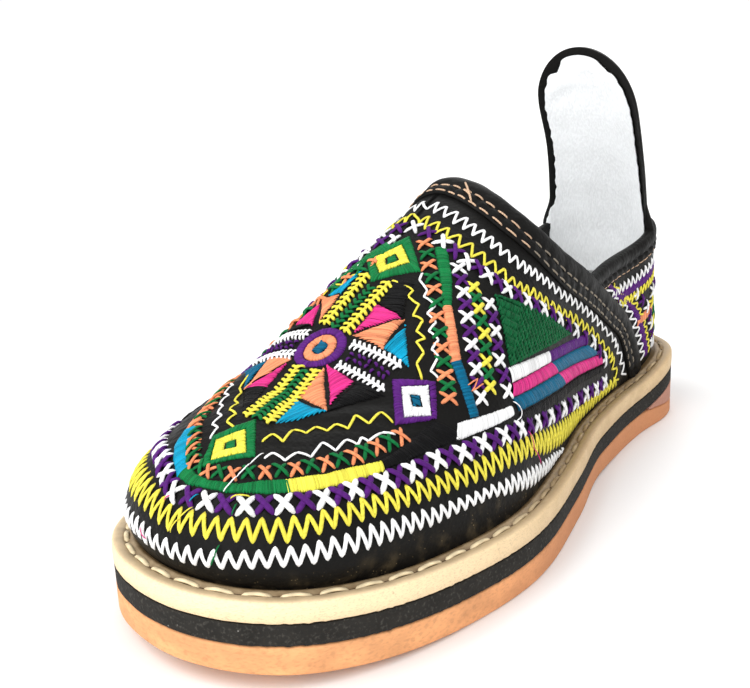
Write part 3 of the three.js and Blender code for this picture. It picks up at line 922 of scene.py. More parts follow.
class SHOE_OT_welt(bpy.types.Operator):
    """Build the stitched welt"""

    bl_idname = "shoe.welt"
    bl_label = "Build Welt"

    def execute(self, context):
        s = sizes()
        inner = s.welt_lip + s.vamp_step + s.wall + 3 * s.gap

        def row(inset, height, rise, soil=0.0, cut=0.0):
            """A row of the section, with how much grime and painted shade it has and how far it is on the
            cut edge.
            """
            border = 3 if height is midsole_top else 0
            place = {"inset": inset, "height": height, "raise": rise, "border": border}
            return {**place, "soil": soil, "cut_edge": cut}

        top = welt_top
        # The welt is darkened in its groove and where it meets the upper and the midsole: grime and painted
        # shade.
        rows = [
            row(inner, midsole_top, s.gap),
            row(0.002, midsole_top, s.gap, 0.2, 1),
            row(0.0003, midsole_top, s.gap, 0.35, 1),
            row(0.0, midsole_top, s.gap + 0.0003, 0.1, 1),
            row(-0.0001, midsole_top, 0.5 * s.welt, 0.0, 1),
            row(0.0, top, -0.0009, 0.0, 1),
            row(0.0002, top, -0.0004, 0.02, 0.9),
            row(0.0007, top, -0.0001, 0.14, 0.3),
            row(0.0014, top, 0.0, 0.26),
            row(WELT_GROOVE - 0.0012, top, -0.00005, 0.42),
            row(WELT_GROOVE - 0.0007, top, -0.0003, 0.7),
            row(WELT_GROOVE, top, -0.0007, 1.0),
            row(WELT_GROOVE + 0.0008, top, -0.0003, 0.8),
            row(WELT_GROOVE + 0.0014, top, -0.0001, 0.75),
            row(s.welt_lip - 0.0012, top, 0.0, 0.85),
            row(s.welt_lip - 0.0004, top, -0.0002, 1.2),
            row(s.welt_lip + 0.0006, top, -0.0008, 1.5),
            row(inner, top, -0.0008, 0.8),
        ]
        welt = plate("leather_welt", tan_material(), rows, filled=False, extra=("soil", "cut_edge"))
        finish_piece(welt, "tan_leather", "welt")
        hole_shades, stitches = self.stitches()
        finish_piece(stitches, "tan_leather")
        finish_piece(hole_shades, "tan_leather")
        return {"FINISHED"}

    def stitches(self):
        """Long cream stitches in the groove, and between them a dark patch of painted shade where the
        needle hole is.
        """
        probe, step = even_angles(GROOVE_DETAIL, WELT_GROOVE)
        total = step * GROOVE_DETAIL
        marks, turns = np.arange(GROOVE_DETAIL + 1) * step, np.append(probe, 2 * math.pi)

        def line(at, inset, rise):
            """Points on the welt's top, from places along the groove."""
            points, own = sole_loop(np.interp(at % total, marks, turns), inset)
            return np.column_stack([points, welt_top(station_of(own)) + rise])[None]

        count = int(total / WELT_PITCH)
        work = Threads(sides=8)
        hole_shades = Threads(sides=10)
        rng = np.random.default_rng(5)
        share = np.linspace(-0.5, 0.5, 9)
        up = np.tile([0.0, 0.0, 1.0], (len(share), 1))
        for k in range(count):
            centre = (k + 0.35) * total / count
            at = centre + share * WELT_STITCH * rng.uniform(0.93, 1.05)
            wobble = rng.uniform(-0.00018, 0.00018)
            rise = -0.0009 + 0.0009 * np.cos(share * math.pi) ** 0.7
            work.add(line(at, WELT_GROOVE + wobble, rise), up[None], 0.0014, 0.0008, taper=0.15)
            # Painted shade of the needle hole: a flat dark patch sunk in the groove between two stitches.
            hole = np.array([centre + WELT_PITCH / 2 - 0.001, centre + WELT_PITCH / 2 + 0.0009])
            hole_shades.add(line(hole, WELT_GROOVE, -0.00062), up[None, :2], 0.0009, 0.00012, taper=0.4)
        dark = Shader("needle_hole", roughness=0.95)
        dark.colour(dark.mix(dark.noise(0.001), (0.05, 0.025, 0.01), (0.11, 0.055, 0.02)))
        yarn = self.thread()
        return hole_shades.mesh("needle_holes", dark.material), work.mesh("welt_stitches", yarn)

    @staticmethod
    def thread():
        """Waxed thread: clean at the toe, browner along the sides from wear and painted shade, with painted
        light and shade along its twist.
        """
        shader = Shader("welt_thread", roughness=0.5, specular_ior_level=0.3)
        base = colours().cord
        along = shader.parts(shader.attribute("strand", "Vector"))[0]
        # Browner towards the heel: wear, and painted shade of the shoe's side.
        back = shader.parts(shader.place())[1].over(-0.075, -0.02)
        soil = (back * (0.45 + 0.9 * shader.noise(0.004, 3.0))).clamp()
        # Lighter and darker along the twist: painted light and shade on the plies.
        twist = (along * (2 * math.pi / 0.004)).sine() * 0.5 + 0.5
        tone = shader.mix(twist, shade(base, 0.9), shade(base, 1.15))
        shader.colour(shader.mix(soil, tone, (0.26, 0.17, 0.08)))
        shader.bump((shader.noise(0.0004), 0.0001, 0.5))
        return shader.material


# Threads


class Threads:
    """Collects stitches, as flattened tubes, into one mesh."""

    def __init__(self, sides=6, seed=1):
        self.sides = sides
        self.points = []
        self.quads = []
        self.strands = []
        self.count = 0
        self.rng = np.random.default_rng(seed)

    def add(self, paths, normals, width, height, taper=0.6):
        """Adds stitches. paths and normals: stitch, point along it, xyz."""
        stitches, steps, _ = paths.shape
        tangents = unit(np.gradient(paths, axis=1))
        across = unit(np.cross(tangents, normals))
        upward = np.cross(across, tangents)
        angles = 2 * math.pi * np.arange(self.sides) / self.sides
        swell = np.ones(steps)
        swell[0] = swell[-1] = taper
        wide = (0.5 * width * swell)[None, :, None, None] * np.cos(angles)[None, None, :, None]
        high = (0.5 * height * swell)[None, :, None, None] * np.sin(angles)[None, None, :, None]
        rings = paths[:, :, None, :] + across[:, :, None, :] * wide + upward[:, :, None, :] * high
        lengths = np.linalg.norm(np.diff(paths, axis=1), axis=2)
        travel = np.concatenate([np.zeros((stitches, 1)), np.cumsum(lengths, axis=1)], axis=1)
        tone = self.rng.uniform(0.1, 0.9, stitches)
        phase = self.rng.uniform(0, 0.01, stitches)
        strand = np.empty((stitches, steps, self.sides, 3))
        strand[..., 0] = (travel + phase[:, None])[:, :, None]
        strand[..., 1] = (angles / (2 * math.pi))[None, None, :]
        strand[..., 2] = tone[:, None, None]
        one = lattice(steps, self.sides, closed=True)
        last = (steps - 1) * self.sides
        caps = []
        for j in range(1, self.sides - 2, 2):
            caps.append([0, j + 2 if j + 2 < self.sides else 0, j + 1, j])
            caps.append([last, last + j, last + j + 1, last + j + 2])
        one = np.concatenate([one, np.array(caps)])
        starts = self.count + np.arange(stitches) * steps * self.sides
        self.points.append(rings.reshape(-1, 3))
        self.strands.append(strand.reshape(-1, 3))
        self.quads.append((one[None] + starts[:, None, None]).reshape(-1, 4))
        self.count += stitches * steps * self.sides

    def mesh(self, name, material):
        """One object of all the stitches."""
        points = np.concatenate(self.points)
        quads = np.concatenate(self.quads)
        return make_mesh(name, points, quads, [material], {"strand": np.concatenate(self.strands)})


# Upper


FEATHER_COLUMNS = 1400
FOOT_SINK = 0.0006
VAMP_ROWS = 74
RIB_DETAIL = 140
CHART_STEP = 0.0005
# How far the charts reach from their lines
FEATHER_REACH = 0.095
TOPLINE_REACH = 0.045
THROAT_REACH = 0.036
# Front of the quarters under the vamp, and of their binding, as shares of the length
QUARTER_FRONT = 0.66
QUARTER_SEEN = 0.705


class GridChart:
    """A grid of points on a surface, read by distance along its columns and its rows."""

    def __init__(self, grid, normals, along, down, first=0.0, wrapped=False):
        self.grid = grid
        self.normals = normals
        self.along = along
        self.down = down
        self.first = first
        self.wrapped = wrapped
        tree = KDTree(grid.shape[0] * grid.shape[1])
        for i, point in enumerate(grid.reshape(-1, 3)):
            tree.insert(point, i)
        tree.balance()
        self.tree = tree

    def place(self, spots):
        """Points and normals of spots given as (along, down)."""
        rows, columns = self.grid.shape[:2]
        column_at = (spots[..., 0] - self.first) / self.along
        if not self.wrapped:
            column_at = np.clip(column_at, 0, columns - 1.001)
        row_at = np.clip(spots[..., 1] / self.down, 0, rows - 1.001)
        c = np.floor(column_at).astype(int)
        r = np.floor(row_at).astype(int)
        cf = (column_at - c)[..., None]
        rf = (row_at - r)[..., None]
        c0, c1 = c % columns, (c + 1) % columns

        def blend(grid):
            """Values of a grid between its four nearest points."""
            low = grid[r, c0] * (1 - cf) + grid[r, c1] * cf
            high = grid[r + 1, c0] * (1 - cf) + grid[r + 1, c1] * cf
            return low * (1 - rf) + high * rf

        points = blend(self.grid)
        beyond = np.minimum(spots[..., 1], 0)[..., None]
        if beyond.min() < 0:
            outward = unit(self.grid[1] - self.grid[0])
            points = points + (outward[c0] * (1 - cf) + outward[c1] * cf) * beyond
        return points, unit(blend(self.normals))

    def locate(self, points):
        """Spots nearest to points in space."""
        columns = self.grid.shape[1]
        found = np.array([self.tree.find(Vector(point))[1] for point in np.atleast_2d(points)])
        column = found % columns
        if self.wrapped:
            column = np.where(column > columns / 2, column - columns, column)
        return np.column_stack([self.first + column * self.along, found // columns * self.down])


def measured(grid, down, reach):
    """The grid's columns resampled at even distances from their first point."""
    travel = distances(grid)
    wanted = np.arange(0, reach, down)
    columns = range(grid.shape[1])
    return np.stack([resampled(grid[:, k], travel[:, k], wanted) for k in columns], axis=1)


def feather_chart(offset):
    """Chart by distance along the feather line from the toe tip and distance up the rib."""
    theta, step = even_angles(FEATHER_COLUMNS, sizes().welt_lip)
    dense = ribs(theta, np.linspace(0, CREST_TURN, 260), offset, creased=offset == 0)
    grid = measured(dense, CHART_STEP, FEATHER_REACH)
    return GridChart(grid, grid_normals(grid), step, CHART_STEP, wrapped=True)


def topline_chart():
    """Chart by distance along the quarters' top edge from the heel and distance down."""
    s = sizes()
    front = math.acos(1 - 2 * QUARTER_SEEN)
    theta = np.linspace(front, 2 * math.pi - front, 900)
    turns = turns_to_edge(theta, QUARTER_EDGE, s.topline, -s.vamp_step)
    dense = ribs(theta, np.linspace(0, 1, 200)[:, None] * turns[None, :], -s.vamp_step)[::-1]
    grid = measured(dense, CHART_STEP, TOPLINE_REACH)
    run = distances(grid[0])
    wanted = np.arange(0, run[-1], 2 * CHART_STEP)
    even = np.stack([resampled(row, run, wanted) for row in grid])
    return GridChart(even, -grid_normals(even), 2 * CHART_STEP, CHART_STEP, first=-run[-1] / 2)


def throat_chart(tree):
    """Chart by distance along the throat's edge from its peak and distance into the vamp."""
    s = sizes()
    first, last = VAMP_EDGE["station"][0], VAMP_EDGE["station"][-1]
    theta = edge_angles(VAMP_EDGE, s.instep, 0.0, first, last - 0.004, CHART_STEP)
    lines = []
    for side in (theta, 2 * math.pi - theta):
        turns = turns_to_edge(side, VAMP_EDGE, s.instep, 0.0)
        lines.append(ribs(side, turns[None, :])[0])
    line = np.concatenate([lines[1][::-1], lines[0][1:]])
    for _ in range(30):
        line[1:-1] = (line[:-2] + 2 * line[1:-1] + line[2:]) / 4
    travel = distances(line)
    step = 2 * CHART_STEP
    spots = resampled(line, travel, np.arange(0, travel[-1], step))
    tangents = unit(np.gradient(spots, axis=0))
    normal = surface_normals(tree, spots)
    heading = unit(np.cross(tangents, normal))
    inward = np.where(heading[:, 1:2] < 0, heading, -heading)
    rows, normals = [], []
    for _ in range(int(THROAT_REACH / step)):
        rows.append(spots)
        normals.append(normal)
        moved = spots + inward * step
        spots = np.array([tuple(tree.find_nearest(Vector(p))[0]) for p in moved])
        normal = surface_normals(tree, spots)
        inward = unit(inward - normal * np.sum(inward * normal, axis=1, keepdims=True))
    peak = travel[len(lines[1]) - 1]
    return GridChart(np.array(rows), np.array(normals), step, step, first=-peak)


def surface_normals(tree, spots):
    """Normals of the surface nearest to spots, smoothed along the row."""
    normals = np.array([tuple(tree.find_nearest(Vector(p))[1]) for p in spots])
    for _ in range(6):
        normals[1:-1] = (normals[:-2] + 2 * normals[1:-1] + normals[2:]) / 4
    return unit(normals)


class HeightChart:
    """Places by plan or side coordinates, dropped onto the last from above or from the outer side."""

    STEP = 0.0008
    FAR = 0.3
    # Start, steps, and which axes the spots and the depth run along
    KINDS = {
        "plan": ((-0.052, -0.13), (131, 192), [0, 1, 2]),
        "outer": ((-0.13, 0.012), (326, 118), [1, 2, 0]),
    }

    def __init__(self, tree, kind):
        origin, counts, self.axes = self.KINDS[kind]
        self.origin = np.array(origin)
        depth = np.full(counts, np.nan)
        down = -np.eye(3)[self.axes[2]]
        start = np.full(3, self.FAR)
        for i, j in np.ndindex(counts):
            start[self.axes[:2]] = self.origin + np.array([i, j]) * self.STEP
            hit = tree.ray_cast(Vector(start), Vector(down))[0]
            if hit:
                depth[i, j] = hit[self.axes[2]]
        self.depth = self.filled(depth)

    @staticmethod
    def filled(depth):
        """Missing depths taken from the nearest row that has one."""
        for _ in range(6):
            for axis in (0, 1):
                for shift in (1, -1):
                    other = np.roll(depth, shift, axis)
                    depth = np.where(np.isnan(depth), other, depth)
        return np.nan_to_num(depth)

    def height(self, spots):
        """Depth of spots, by smooth interpolation."""
        at = (spots - self.origin) / self.STEP
        limit = np.array(self.depth.shape) - 1.001
        at = np.clip(at, 0, limit)
        i = np.floor(at).astype(int)
        f = at - i
        d = self.depth
        a, b = i[..., 0], i[..., 1]
        low = d[a, b] * (1 - f[..., 0]) + d[a + 1, b] * f[..., 0]
        high = d[a, b + 1] * (1 - f[..., 0]) + d[a + 1, b + 1] * f[..., 0]
        return low * (1 - f[..., 1]) + high * f[..., 1]

    def place(self, spots):
        """Points and normals of spots given as (x, y) in plan or (y, z) from the side."""
        reach = 0.001
        depth = self.height(spots)
        first = (self.height(spots + [reach, 0]) - self.height(spots - [reach, 0])) / (2 * reach)
        second = (self.height(spots + [0, reach]) - self.height(spots - [0, reach])) / (2 * reach)
        points = np.empty((*depth.shape, 3))
        normals = np.empty_like(points)
        points[..., self.axes] = np.stack([spots[..., 0], spots[..., 1], depth], axis=-1)
        normals[..., self.axes] = np.stack([-first, -second, np.ones_like(depth)], axis=-1)
        return points, unit(normals)


def last_tree():
    """The creased last as a tree of faces."""
    theta, _ = even_angles(620, sizes().welt_lip)
    grid = ribs(theta, np.linspace(0, CREST_TURN, RIB_DETAIL), creased=True)
    quads = lattice(RIB_DETAIL, len(theta), closed=True)
    return BVHTree.FromPolygons([Vector(p) for p in grid.reshape(-1, 3)], quads.tolist())


CHARTS = {
    "tree": last_tree,
    "feather": lambda: feather_chart(0.0),
    "quarter": lambda: feather_chart(-sizes().vamp_step),
    "topline": topline_chart,
    "throat": lambda: throat_chart(chart("tree")),
    "plan": lambda: HeightChart(chart("tree"), "plan"),
    "outer": lambda: HeightChart(chart("tree"), "outer"),
    "wall": lambda: heel_wall(),
}
charts_made = {}


def chart(name):
    """A chart, worked out once."""
    if name not in charts_made:
        charts_made[name] = CHARTS[name]()
    return charts_made[name]


def footed(grid):
    """Grid of the upper with one more row at its foot, which goes into the welt."""
    return np.concatenate([grid[:1] - np.array([0, 0, FOOT_SINK]), grid])


def wall_piece(name, outside, thickness, materials):
    """Closed wall from a grid of outside points: outer face, lining and the rim between them."""
    rows, columns = outside.shape[:2]
    inside = outside - grid_normals(outside) * thickness
    points = np.concatenate([outside.reshape(-1, 3), inside.reshape(-1, 3)])
    outer = lattice(rows, columns)
    inner = lattice(rows, columns, start=rows * columns)[:, ::-1]
    size = rows * columns

    def rim(indices):
        """Quads between the two faces along one edge."""
        a, b = indices[:-1], indices[1:]
        return np.stack([b, a, a + size, b + size], axis=-1)

    grid = np.arange(size).reshape(rows, columns)
    rims = [rim(grid[0]), rim(grid[:, -1]), rim(grid[-1, ::-1]), rim(grid[::-1, 0])]
    quads = np.concatenate([outer, inner, *rims])
    picks = np.concatenate([np.zeros(len(outer)), np.ones(len(inner)), np.zeros(sum(map(len, rims)))])
    piece = make_mesh(name, points, quads, materials, picks=picks)
    weld(piece, distance=1e-5, sharp=math.radians(60))
    return piece


class SHOE_OT_vamp(bpy.types.Operator):
    """Build the vamp"""

    bl_idname = "shoe.vamp"
    bl_label = "Build Vamp"

    def execute(self, context):
        s = sizes()
        rear = edge_angles(VAMP_EDGE, s.instep, 0.0, 0.546, VAMP_EDGE["station"][-1] - 0.004, 0.0014)
        front = np.linspace(0, rear[0], 150)[:-1]
        half = np.concatenate([front, rear])
        theta = np.concatenate([-half[:0:-1], half])
        turns = turns_to_edge(theta, VAMP_EDGE, s.instep, 0.0)
        shares = np.linspace(0, 1, RIB_DETAIL)[:, None]
        grid = even_rows(ribs(theta, shares * turns[None, :], creased=True), VAMP_ROWS)
        grid = footed(grid)
        materials = [leather_material("black_leather", dust=1.0), felt_material()]
        vamp = wall_piece("leather_vamp", grid, s.vamp_step + s.wall - 0.0003, materials)
        finish_piece(vamp, "black_leather", "upper")
        return {"FINISHED"}


class SHOE_OT_quarters(bpy.types.Operator):
    """Build the quarters"""

    bl_idname = "shoe.quarters"
    bl_label = "Build Quarters"

    def execute(self, context):
        s = sizes()
        front = math.acos(1 - 2 * QUARTER_FRONT)
        theta = np.linspace(front, 2 * math.pi - front, 260)
        turns = turns_to_edge(theta, QUARTER_EDGE, s.topline, -s.vamp_step)
        shares = np.linspace(0, 1, RIB_DETAIL)[:, None]
        grid = even_rows(ribs(theta, shares * turns[None, :], -s.vamp_step), 46)
        grid = footed(grid)
        leather = materials_made["black_leather"]
        felt = materials_made["white_felt"]
        quarters = wall_piece("leather_quarters", grid, s.wall, [leather, felt])
        finish_piece(quarters, "black_leather", "upper")
        return {"FINISHED"}


def chart_ends(which):
    """First and last place along a chart."""
    return which.first, which.first + (which.grid.shape[1] - 1.01) * which.along


def binding_profile(wall, thickness):
    """Section of a folded binding: share of its width, distance added to that, height over the face."""
    inner = -wall - thickness
    middle = -wall / 2
    reach = thickness + 0.0002
    rows = [
        (1.0, 0.0, -0.0001),
        (1.0, -0.0001, 0.5 * thickness),
        (1.0, -0.0004, 0.85 * thickness),
        (0.93, 0.0, 0.95 * thickness),
        (0.88, 0.0, 0.75 * thickness),
        (0.82, 0.0, 1.0 * thickness),
        (0.7, 0.0, 1.15 * thickness),
        (0.6, 0.0, 1.0 * thickness),
        (0.53, 0.0, 0.75 * thickness),
        (0.46, 0.0, 1.1 * thickness),
        (0.34, 0.0, 1.35 * thickness),
        (0.2, 0.0, 1.4 * thickness),
        (0.1, 0.0, 1.3 * thickness),
    ]
    half = (wall + 2.1 * thickness) / 2
    for turn in np.linspace(math.radians(75), -math.radians(75), 9):
        rows.append((0.0, -reach * math.cos(turn), middle + half * math.sin(turn)))
    rows += [(share, 0.0, inner - 0.4 * thickness) for share in (0.12, 0.26, 0.4, 0.53, 0.66)]
    rows += [(0.7, 0.0, inner + 0.3 * thickness), (0.7, 0.0, -wall)]
    return rows


# Seams of the throat binding: from one stitch to the next, a stitch, its thread, shares of the width,
# and how far from the peak the thread is still fresh
SEAM_PITCH = 0.0042
SEAM_STITCH = 0.0037
SEAM_THREAD = 0.00075
SEAM_SHARES = (0.53, 0.88)
SEAM_FRESH = 0.03
# Seam of the topline binding
LOW_SEAM_PLACE = 0.0061
LOW_SEAM_PITCH = 0.0034
LOW_SEAM_STITCH = 0.0031
LOW_SEAM_THREAD = 0.0004


def folded_strip(name, edge, start, end, width, wall, thickness, squeeze=None):
    """Binding along an edge of the upper. width: places along the edge and the width there."""
    along = np.arange(start, end, 0.0011)
    breadth = np.interp(along, *width)
    wave = 0.00007 * np.sin(along / 0.0013) + 0.0001 * np.sin(along / 0.0047 + 1)
    pucker = 0.00026 * np.cos(2 * math.pi * (along - start - 0.004) / SEAM_PITCH)
    loops = []
    for share, more, height in binding_profile(wall, thickness):
        spots = np.stack([along, share * breadth + more], axis=-1)
        points, normals = edge.place(spots)
        lift = height + (wave if height > 0.5 * thickness else 0)
        if 0.45 < share < 0.95 and height > 0:
            lift = lift - pucker
        if squeeze is not None and height < -wall:
            lift = np.maximum(lift, -wall - thickness * (0.15 + 2 * squeeze(points)))
        loops.append(points + normals * (np.zeros_like(along) + lift)[:, None])
    grid = np.stack(loops, axis=0)
    rows, columns = grid.shape[:2]
    points = grid.reshape(-1, 3)
    quads = lattice(rows, columns)
    a = np.arange(columns - 1)
    last = (rows - 1) * columns
    seam = np.stack([last + a, last + a + 1, a + 1, a], axis=-1)
    ends = []
    for k in (0, columns - 1):
        ring = np.arange(rows) * columns + k
        for i in range(rows // 2 - 1):
            ends.append([ring[i], ring[i + 1], ring[rows - 2 - i], ring[rows - 1 - i]])
    quads = np.concatenate([quads, seam, np.array(ends)])
    piece = make_mesh(name, points, quads, [materials_made["binding_leather"]])
    weld(piece, distance=5e-6, sharp=math.radians(65))
    return piece


def running_stitches(work, edge, start, end, distance, pitch, length, width, lift, sink, rng):
    """A row of short sunken stitches beside an edge."""
    for at in np.arange(start, end, pitch):
        share = np.linspace(-0.5, 0.5, 7)
        wobble = rng.uniform(-0.00012, 0.00012, 2)
        along = at + share * length
        spots = np.stack([along, np.interp(along, *distance) + wobble[0] + share * 2 * wobble[1]], axis=-1)
        points, normals = edge.place(spots)
        rise = lift - sink + sink * np.cos(share * math.pi) ** 0.5
        work.add((points + normals * rise[:, None])[None], normals[None], width, 0.6 * width)


class SHOE_OT_bindings(bpy.types.Operator):
    """Build the bindings of throat and topline, with their stitches"""

    bl_idname = "shoe.bindings"
    bl_label = "Build Bindings"

    def execute(self, context):
        s = sizes()
        leather_material("binding_leather", grain=0.0014, gloss=0.34)
        throat = chart("throat")
        start, end = chart_ends(throat)
        wall = s.vamp_step + s.wall
        strip = folded_strip(
            "throat_strip", throat, start + 0.0005, end - 0.0005, self.width(), wall, s.binding
        )
        finish_piece(strip, "binding_leather", "throat_binding")
        topline = chart("topline")
        low, high = chart_ends(topline)

        def behind_tab(points):
            """0 behind the tab, where the strip lies flat, and 1 beside it."""
            return ramp(0.62 * s.tab_width, 0.8 * s.tab_width, np.abs(points[:, 0]))

        strip = folded_strip(
            "topline_strip", topline, low, high, ((0, 1), (s.topline_binding, s.topline_binding)), s.wall,
            s.binding, behind_tab
        )
        finish_piece(strip, "binding_leather", "topline_binding")
        rng = np.random.default_rng(11)
        seam = Threads(sides=6, seed=3)
        worn = Threads(sides=6, seed=4)
        for share in SEAM_SHARES:
            distance = (self.width()[0], [share * width for width in self.width()[1]])
            turns = (start + 0.004, -SEAM_FRESH, SEAM_FRESH, end)
            runs = zip((worn, seam, worn), turns[:-1], turns[1:])
            for work, first, last in runs:
                first = start + 0.004 + math.ceil((first - start - 0.004) / SEAM_PITCH) * SEAM_PITCH
                running_stitches(
                    work, throat, first, min(last, end - 0.004), distance, SEAM_PITCH, SEAM_STITCH,
                    SEAM_THREAD, 1.05 * s.binding, 0.0006, rng,
                )
        running_stitches(
            seam, topline, low + 0.002, high - 0.002, ((0, 1), (LOW_SEAM_PLACE, LOW_SEAM_PLACE)),
            LOW_SEAM_PITCH, LOW_SEAM_STITCH, LOW_SEAM_THREAD, s.binding, 0.0004, rng,
        )
        self.knot(seam, throat)
        yarn = yarn_material("seam_thread", colours().seam, gloss=0.5, pitch=0.0008, deep=0.7)
        finish_piece(seam.mesh("binding_stitches", yarn), "binding_leather")
        yarn = yarn_material("worn_seam_thread", colours().worn_seam, gloss=0.5, pitch=0.0008, deep=0.7)
        finish_piece(worn.mesh("worn_stitches", yarn), "binding_leather")
        return {"FINISHED"}

    @staticmethod
    def width():
        """Places along the throat and the width of its binding there."""
        places = np.array((-0.11, -0.08, -0.05, -0.025, -0.01, 0, 0.01, 0.025, 0.05, 0.08, 0.11))
        shares = np.array((1.0, 1.1, 1.35, 1.35, 1.2, 1.05, 1.2, 1.35, 1.35, 1.1, 1.0))
        return places, sizes().throat_binding * shares

    def knot(self, seam, throat):
        """Crossed thread ends near the peak of the throat."""
        ends = (((0.0058, 0.002), (0.0128, 0.0092)), ((0.0078, 0.0058), (0.0112, 0.0072)))
        for first, second in ends:
            share = np.linspace(0, 1, 9)[:, None]
            spots = np.array(first) * (1 - share) + np.array(second) * share
            points, normals = throat.place(spots)
            rise = 1.12 * sizes().binding + 0.0005 * np.sin(share[:, 0] * math.pi) + 0.0001
            seam.add((points + normals * rise[:, None])[None], normals[None], 0.0007, 0.0005)


# Heel tab

TAB_POINTS = 64
TAB_ROWS = 90
# Roundness of the tab's edges
TAB_EDGE = 0.32
# Step in the felt's edge: share of the tab's height, then its depth on the inner and the outer side
FELT_STEP = 0.868
STEP_DEPTHS = (0.0024, 0.0012)
# How much wider the tab is at its foot, and lower down on the inner and the outer side
FOOT_FLARE = 0.0024
LOW_FLARES = (0.0015, 0.0006)


def heel_wall():
    """Place of the quarters' inner face at the back of the heel, level with the topline."""
    s = sizes()
    inner = -s.vamp_step - s.wall
    level = welt_top(np.array(0.5)) + s.topline
    theta = np.array([math.pi])
    dense = np.linspace(0, CREST_TURN, 2000)
    points = ribs(theta, dense, inner)[:, 0]
    place = points[np.abs(points[:, 2] - level).argmin()]
    return np.array([place[0], place[1] - s.gap, level])


def tab_loop(height, start, thickness, margin, shift):
    """Closed loop round the tab at a height over the topline."""
    s = sizes()
    wall = chart("wall")
    top = s.tab_height - margin
    rise = max(TAB["station"][0], height / s.tab_height)
    round_off = max(0.0, (height / top - TAB_ROUND_START) / (1 - TAB_ROUND_START))
    full = 0.5 * s.tab_width * column(TAB, "breadth", rise) - margin
    half = max(full * math.sqrt(max(0.0, 1 - round_off**2.2)), 0.0004)
    sag = s.tab_width * column(TAB, "sag", rise)
    lean = s.tab_lean * column(TAB, "lean", rise)
    turn = 2 * math.pi * np.arange(TAB_POINTS) / TAB_POINTS
    across = np.sign(np.cos(turn)) * np.abs(np.cos(turn)) ** TAB_EDGE
    through = 0.5 + 0.5 * np.sign(np.sin(turn)) * np.abs(np.sin(turn)) ** TAB_EDGE
    spread = min(1.0, thickness / half)
    flat = across * (half - 0.15 * thickness * spread * (1 - np.abs(2 * through - 1)))
    if margin:
        share = height / s.tab_height
        step = float(ramp(0.855, FELT_STEP, share) * (1 - ramp(FELT_STEP, 0.96, share)))
        step *= min(1, half / 0.008)
        ragged = 0.00025 * math.sin(height / 0.0007) * math.sin(height / 0.0031)
        flat = flat * (1 + (ragged - step * np.where(across < 0, *STEP_DEPTHS)) / half)
    foot = FOOT_FLARE * float(1 - ramp(-0.002, 0.011, height))
    wider = np.where(across < 0, *LOW_FLARES) * float(1 - ramp(0.012, 0.045, height))
    above = 1.0 if margin else float(ramp(-0.005, -0.0005, height))
    flat = flat * (1 + above * (foot + wider) / half)
    x = flat + shift - s.tab_width * column(TAB, "slant", rise)
    share = np.minimum(np.abs(x) / (0.5 * s.tab_width), 1)
    curl = (1 - np.sqrt(1 - (TAB_CURL * share) ** 2)) / (1 - math.sqrt(1 - TAB_CURL**2))
    y = wall[1] - lean - sag * curl - start - through * thickness
    return np.column_stack([wall[0] + x, y, np.full(TAB_POINTS, wall[2] + height)])


def felt_fold(x, z):
    """Soft diagonal fold near the top of the felt."""
    first, last = np.array([-0.016, 0.121]), np.array([-0.003, 0.131])
    length = np.linalg.norm(last - first)
    along = ((x - first[0]) * (last[0] - first[0]) + (z - first[1]) * (last[1] - first[1])) / length
    across = ((x - first[0]) * (last[1] - first[1]) - (z - first[1]) * (last[0] - first[0])) / length
    fade = ramp(-0.003, 0.003, along) * (1 - ramp(0.8 * length, 1.2 * length, along))
    return 0.0005 * fade * (np.exp(-((across / 0.0016) ** 2)) - np.exp(-(((across - 0.003) / 0.0016) ** 2)))


def tab_piece(name, material, start, thickness, margin, shift, ripple):
    """One leaf of the tab."""
    s = sizes()
    loops = []
    top = s.tab_height - margin
    for row in range(TAB_ROWS + 1):
        climb = math.sin(CREST_TURN * row / TAB_ROWS)
        height = -s.tab_tuck + (top + s.tab_tuck) * climb
        loop = tab_loop(height, start, thickness, margin, shift)
        wave = ripple * np.sin(loop[:, 2] / 0.0021 + 9 * loop[:, 0] / s.tab_width)
        loop[:, 1] += wave * np.sin(loop[:, 0] / 0.0053 + 0.7)
        if margin:
            loop[:, 1] -= felt_fold(loop[:, 0], loop[:, 2])
        loops.append(loop)
    grid = np.array(loops)
    count = grid.shape[1]
    quads = lattice(len(loops), count, closed=True)
    caps = []
    for base in (0, (len(loops) - 1) * count):
        for i in range(count // 2 - 1):
            ring = [base + i, base + i + 1, base + (count - i - 1) % count, base + (count - i) % count]
            caps.append(ring)
    quads = np.concatenate([quads, np.array(caps)])
    piece = make_mesh(name, grid.reshape(-1, 3), quads, [material])
    weld(piece, distance=1e-5, sharp=math.radians(70))
    return piece


class SHOE_OT_tab(bpy.types.Operator):
    """Build the heel tab and its felt lining"""

    bl_idname = "shoe.tab"
    bl_label = "Build Heel Tab"

    def execute(self, context):
        s = sizes()
        tab = tab_piece(
            "leather_tab", materials_made["binding_leather"], 0.0, s.tab_thickness, 0.0, 0.0, 0.00004
        )
        finish_piece(tab, "binding_leather", "heel_tab")
        felt = tab_piece(
            "felt_tab_lining", materials_made["white_felt"], s.tab_thickness + 0.0001,
            s.lining + s.gap - 0.0001, s.lining_margin, -s.lining_shift, 0.00012,
        )
        finish_piece(felt, "white_felt", "tab_lining")
        return {"FINISHED"}


# Embroidery. The tables of this part are in millimetres, in the charts that they name


def axis_x(y):
    """Middle line of the pattern in plan."""
    return np.interp(y, (-115, -101, -88, -74, -59, -34, -27, 0), (2, 0.5, 0.5, -1.5, -4.7, -3.5, -3.3, -5))


def mirrored(spots):
    """Plan spots on the other side of the pattern's middle line."""
    spots = np.array(spots, dtype=float)
    return np.column_stack([2 * axis_x(spots[:, 1]) - spots[:, 0], spots[:, 1]])


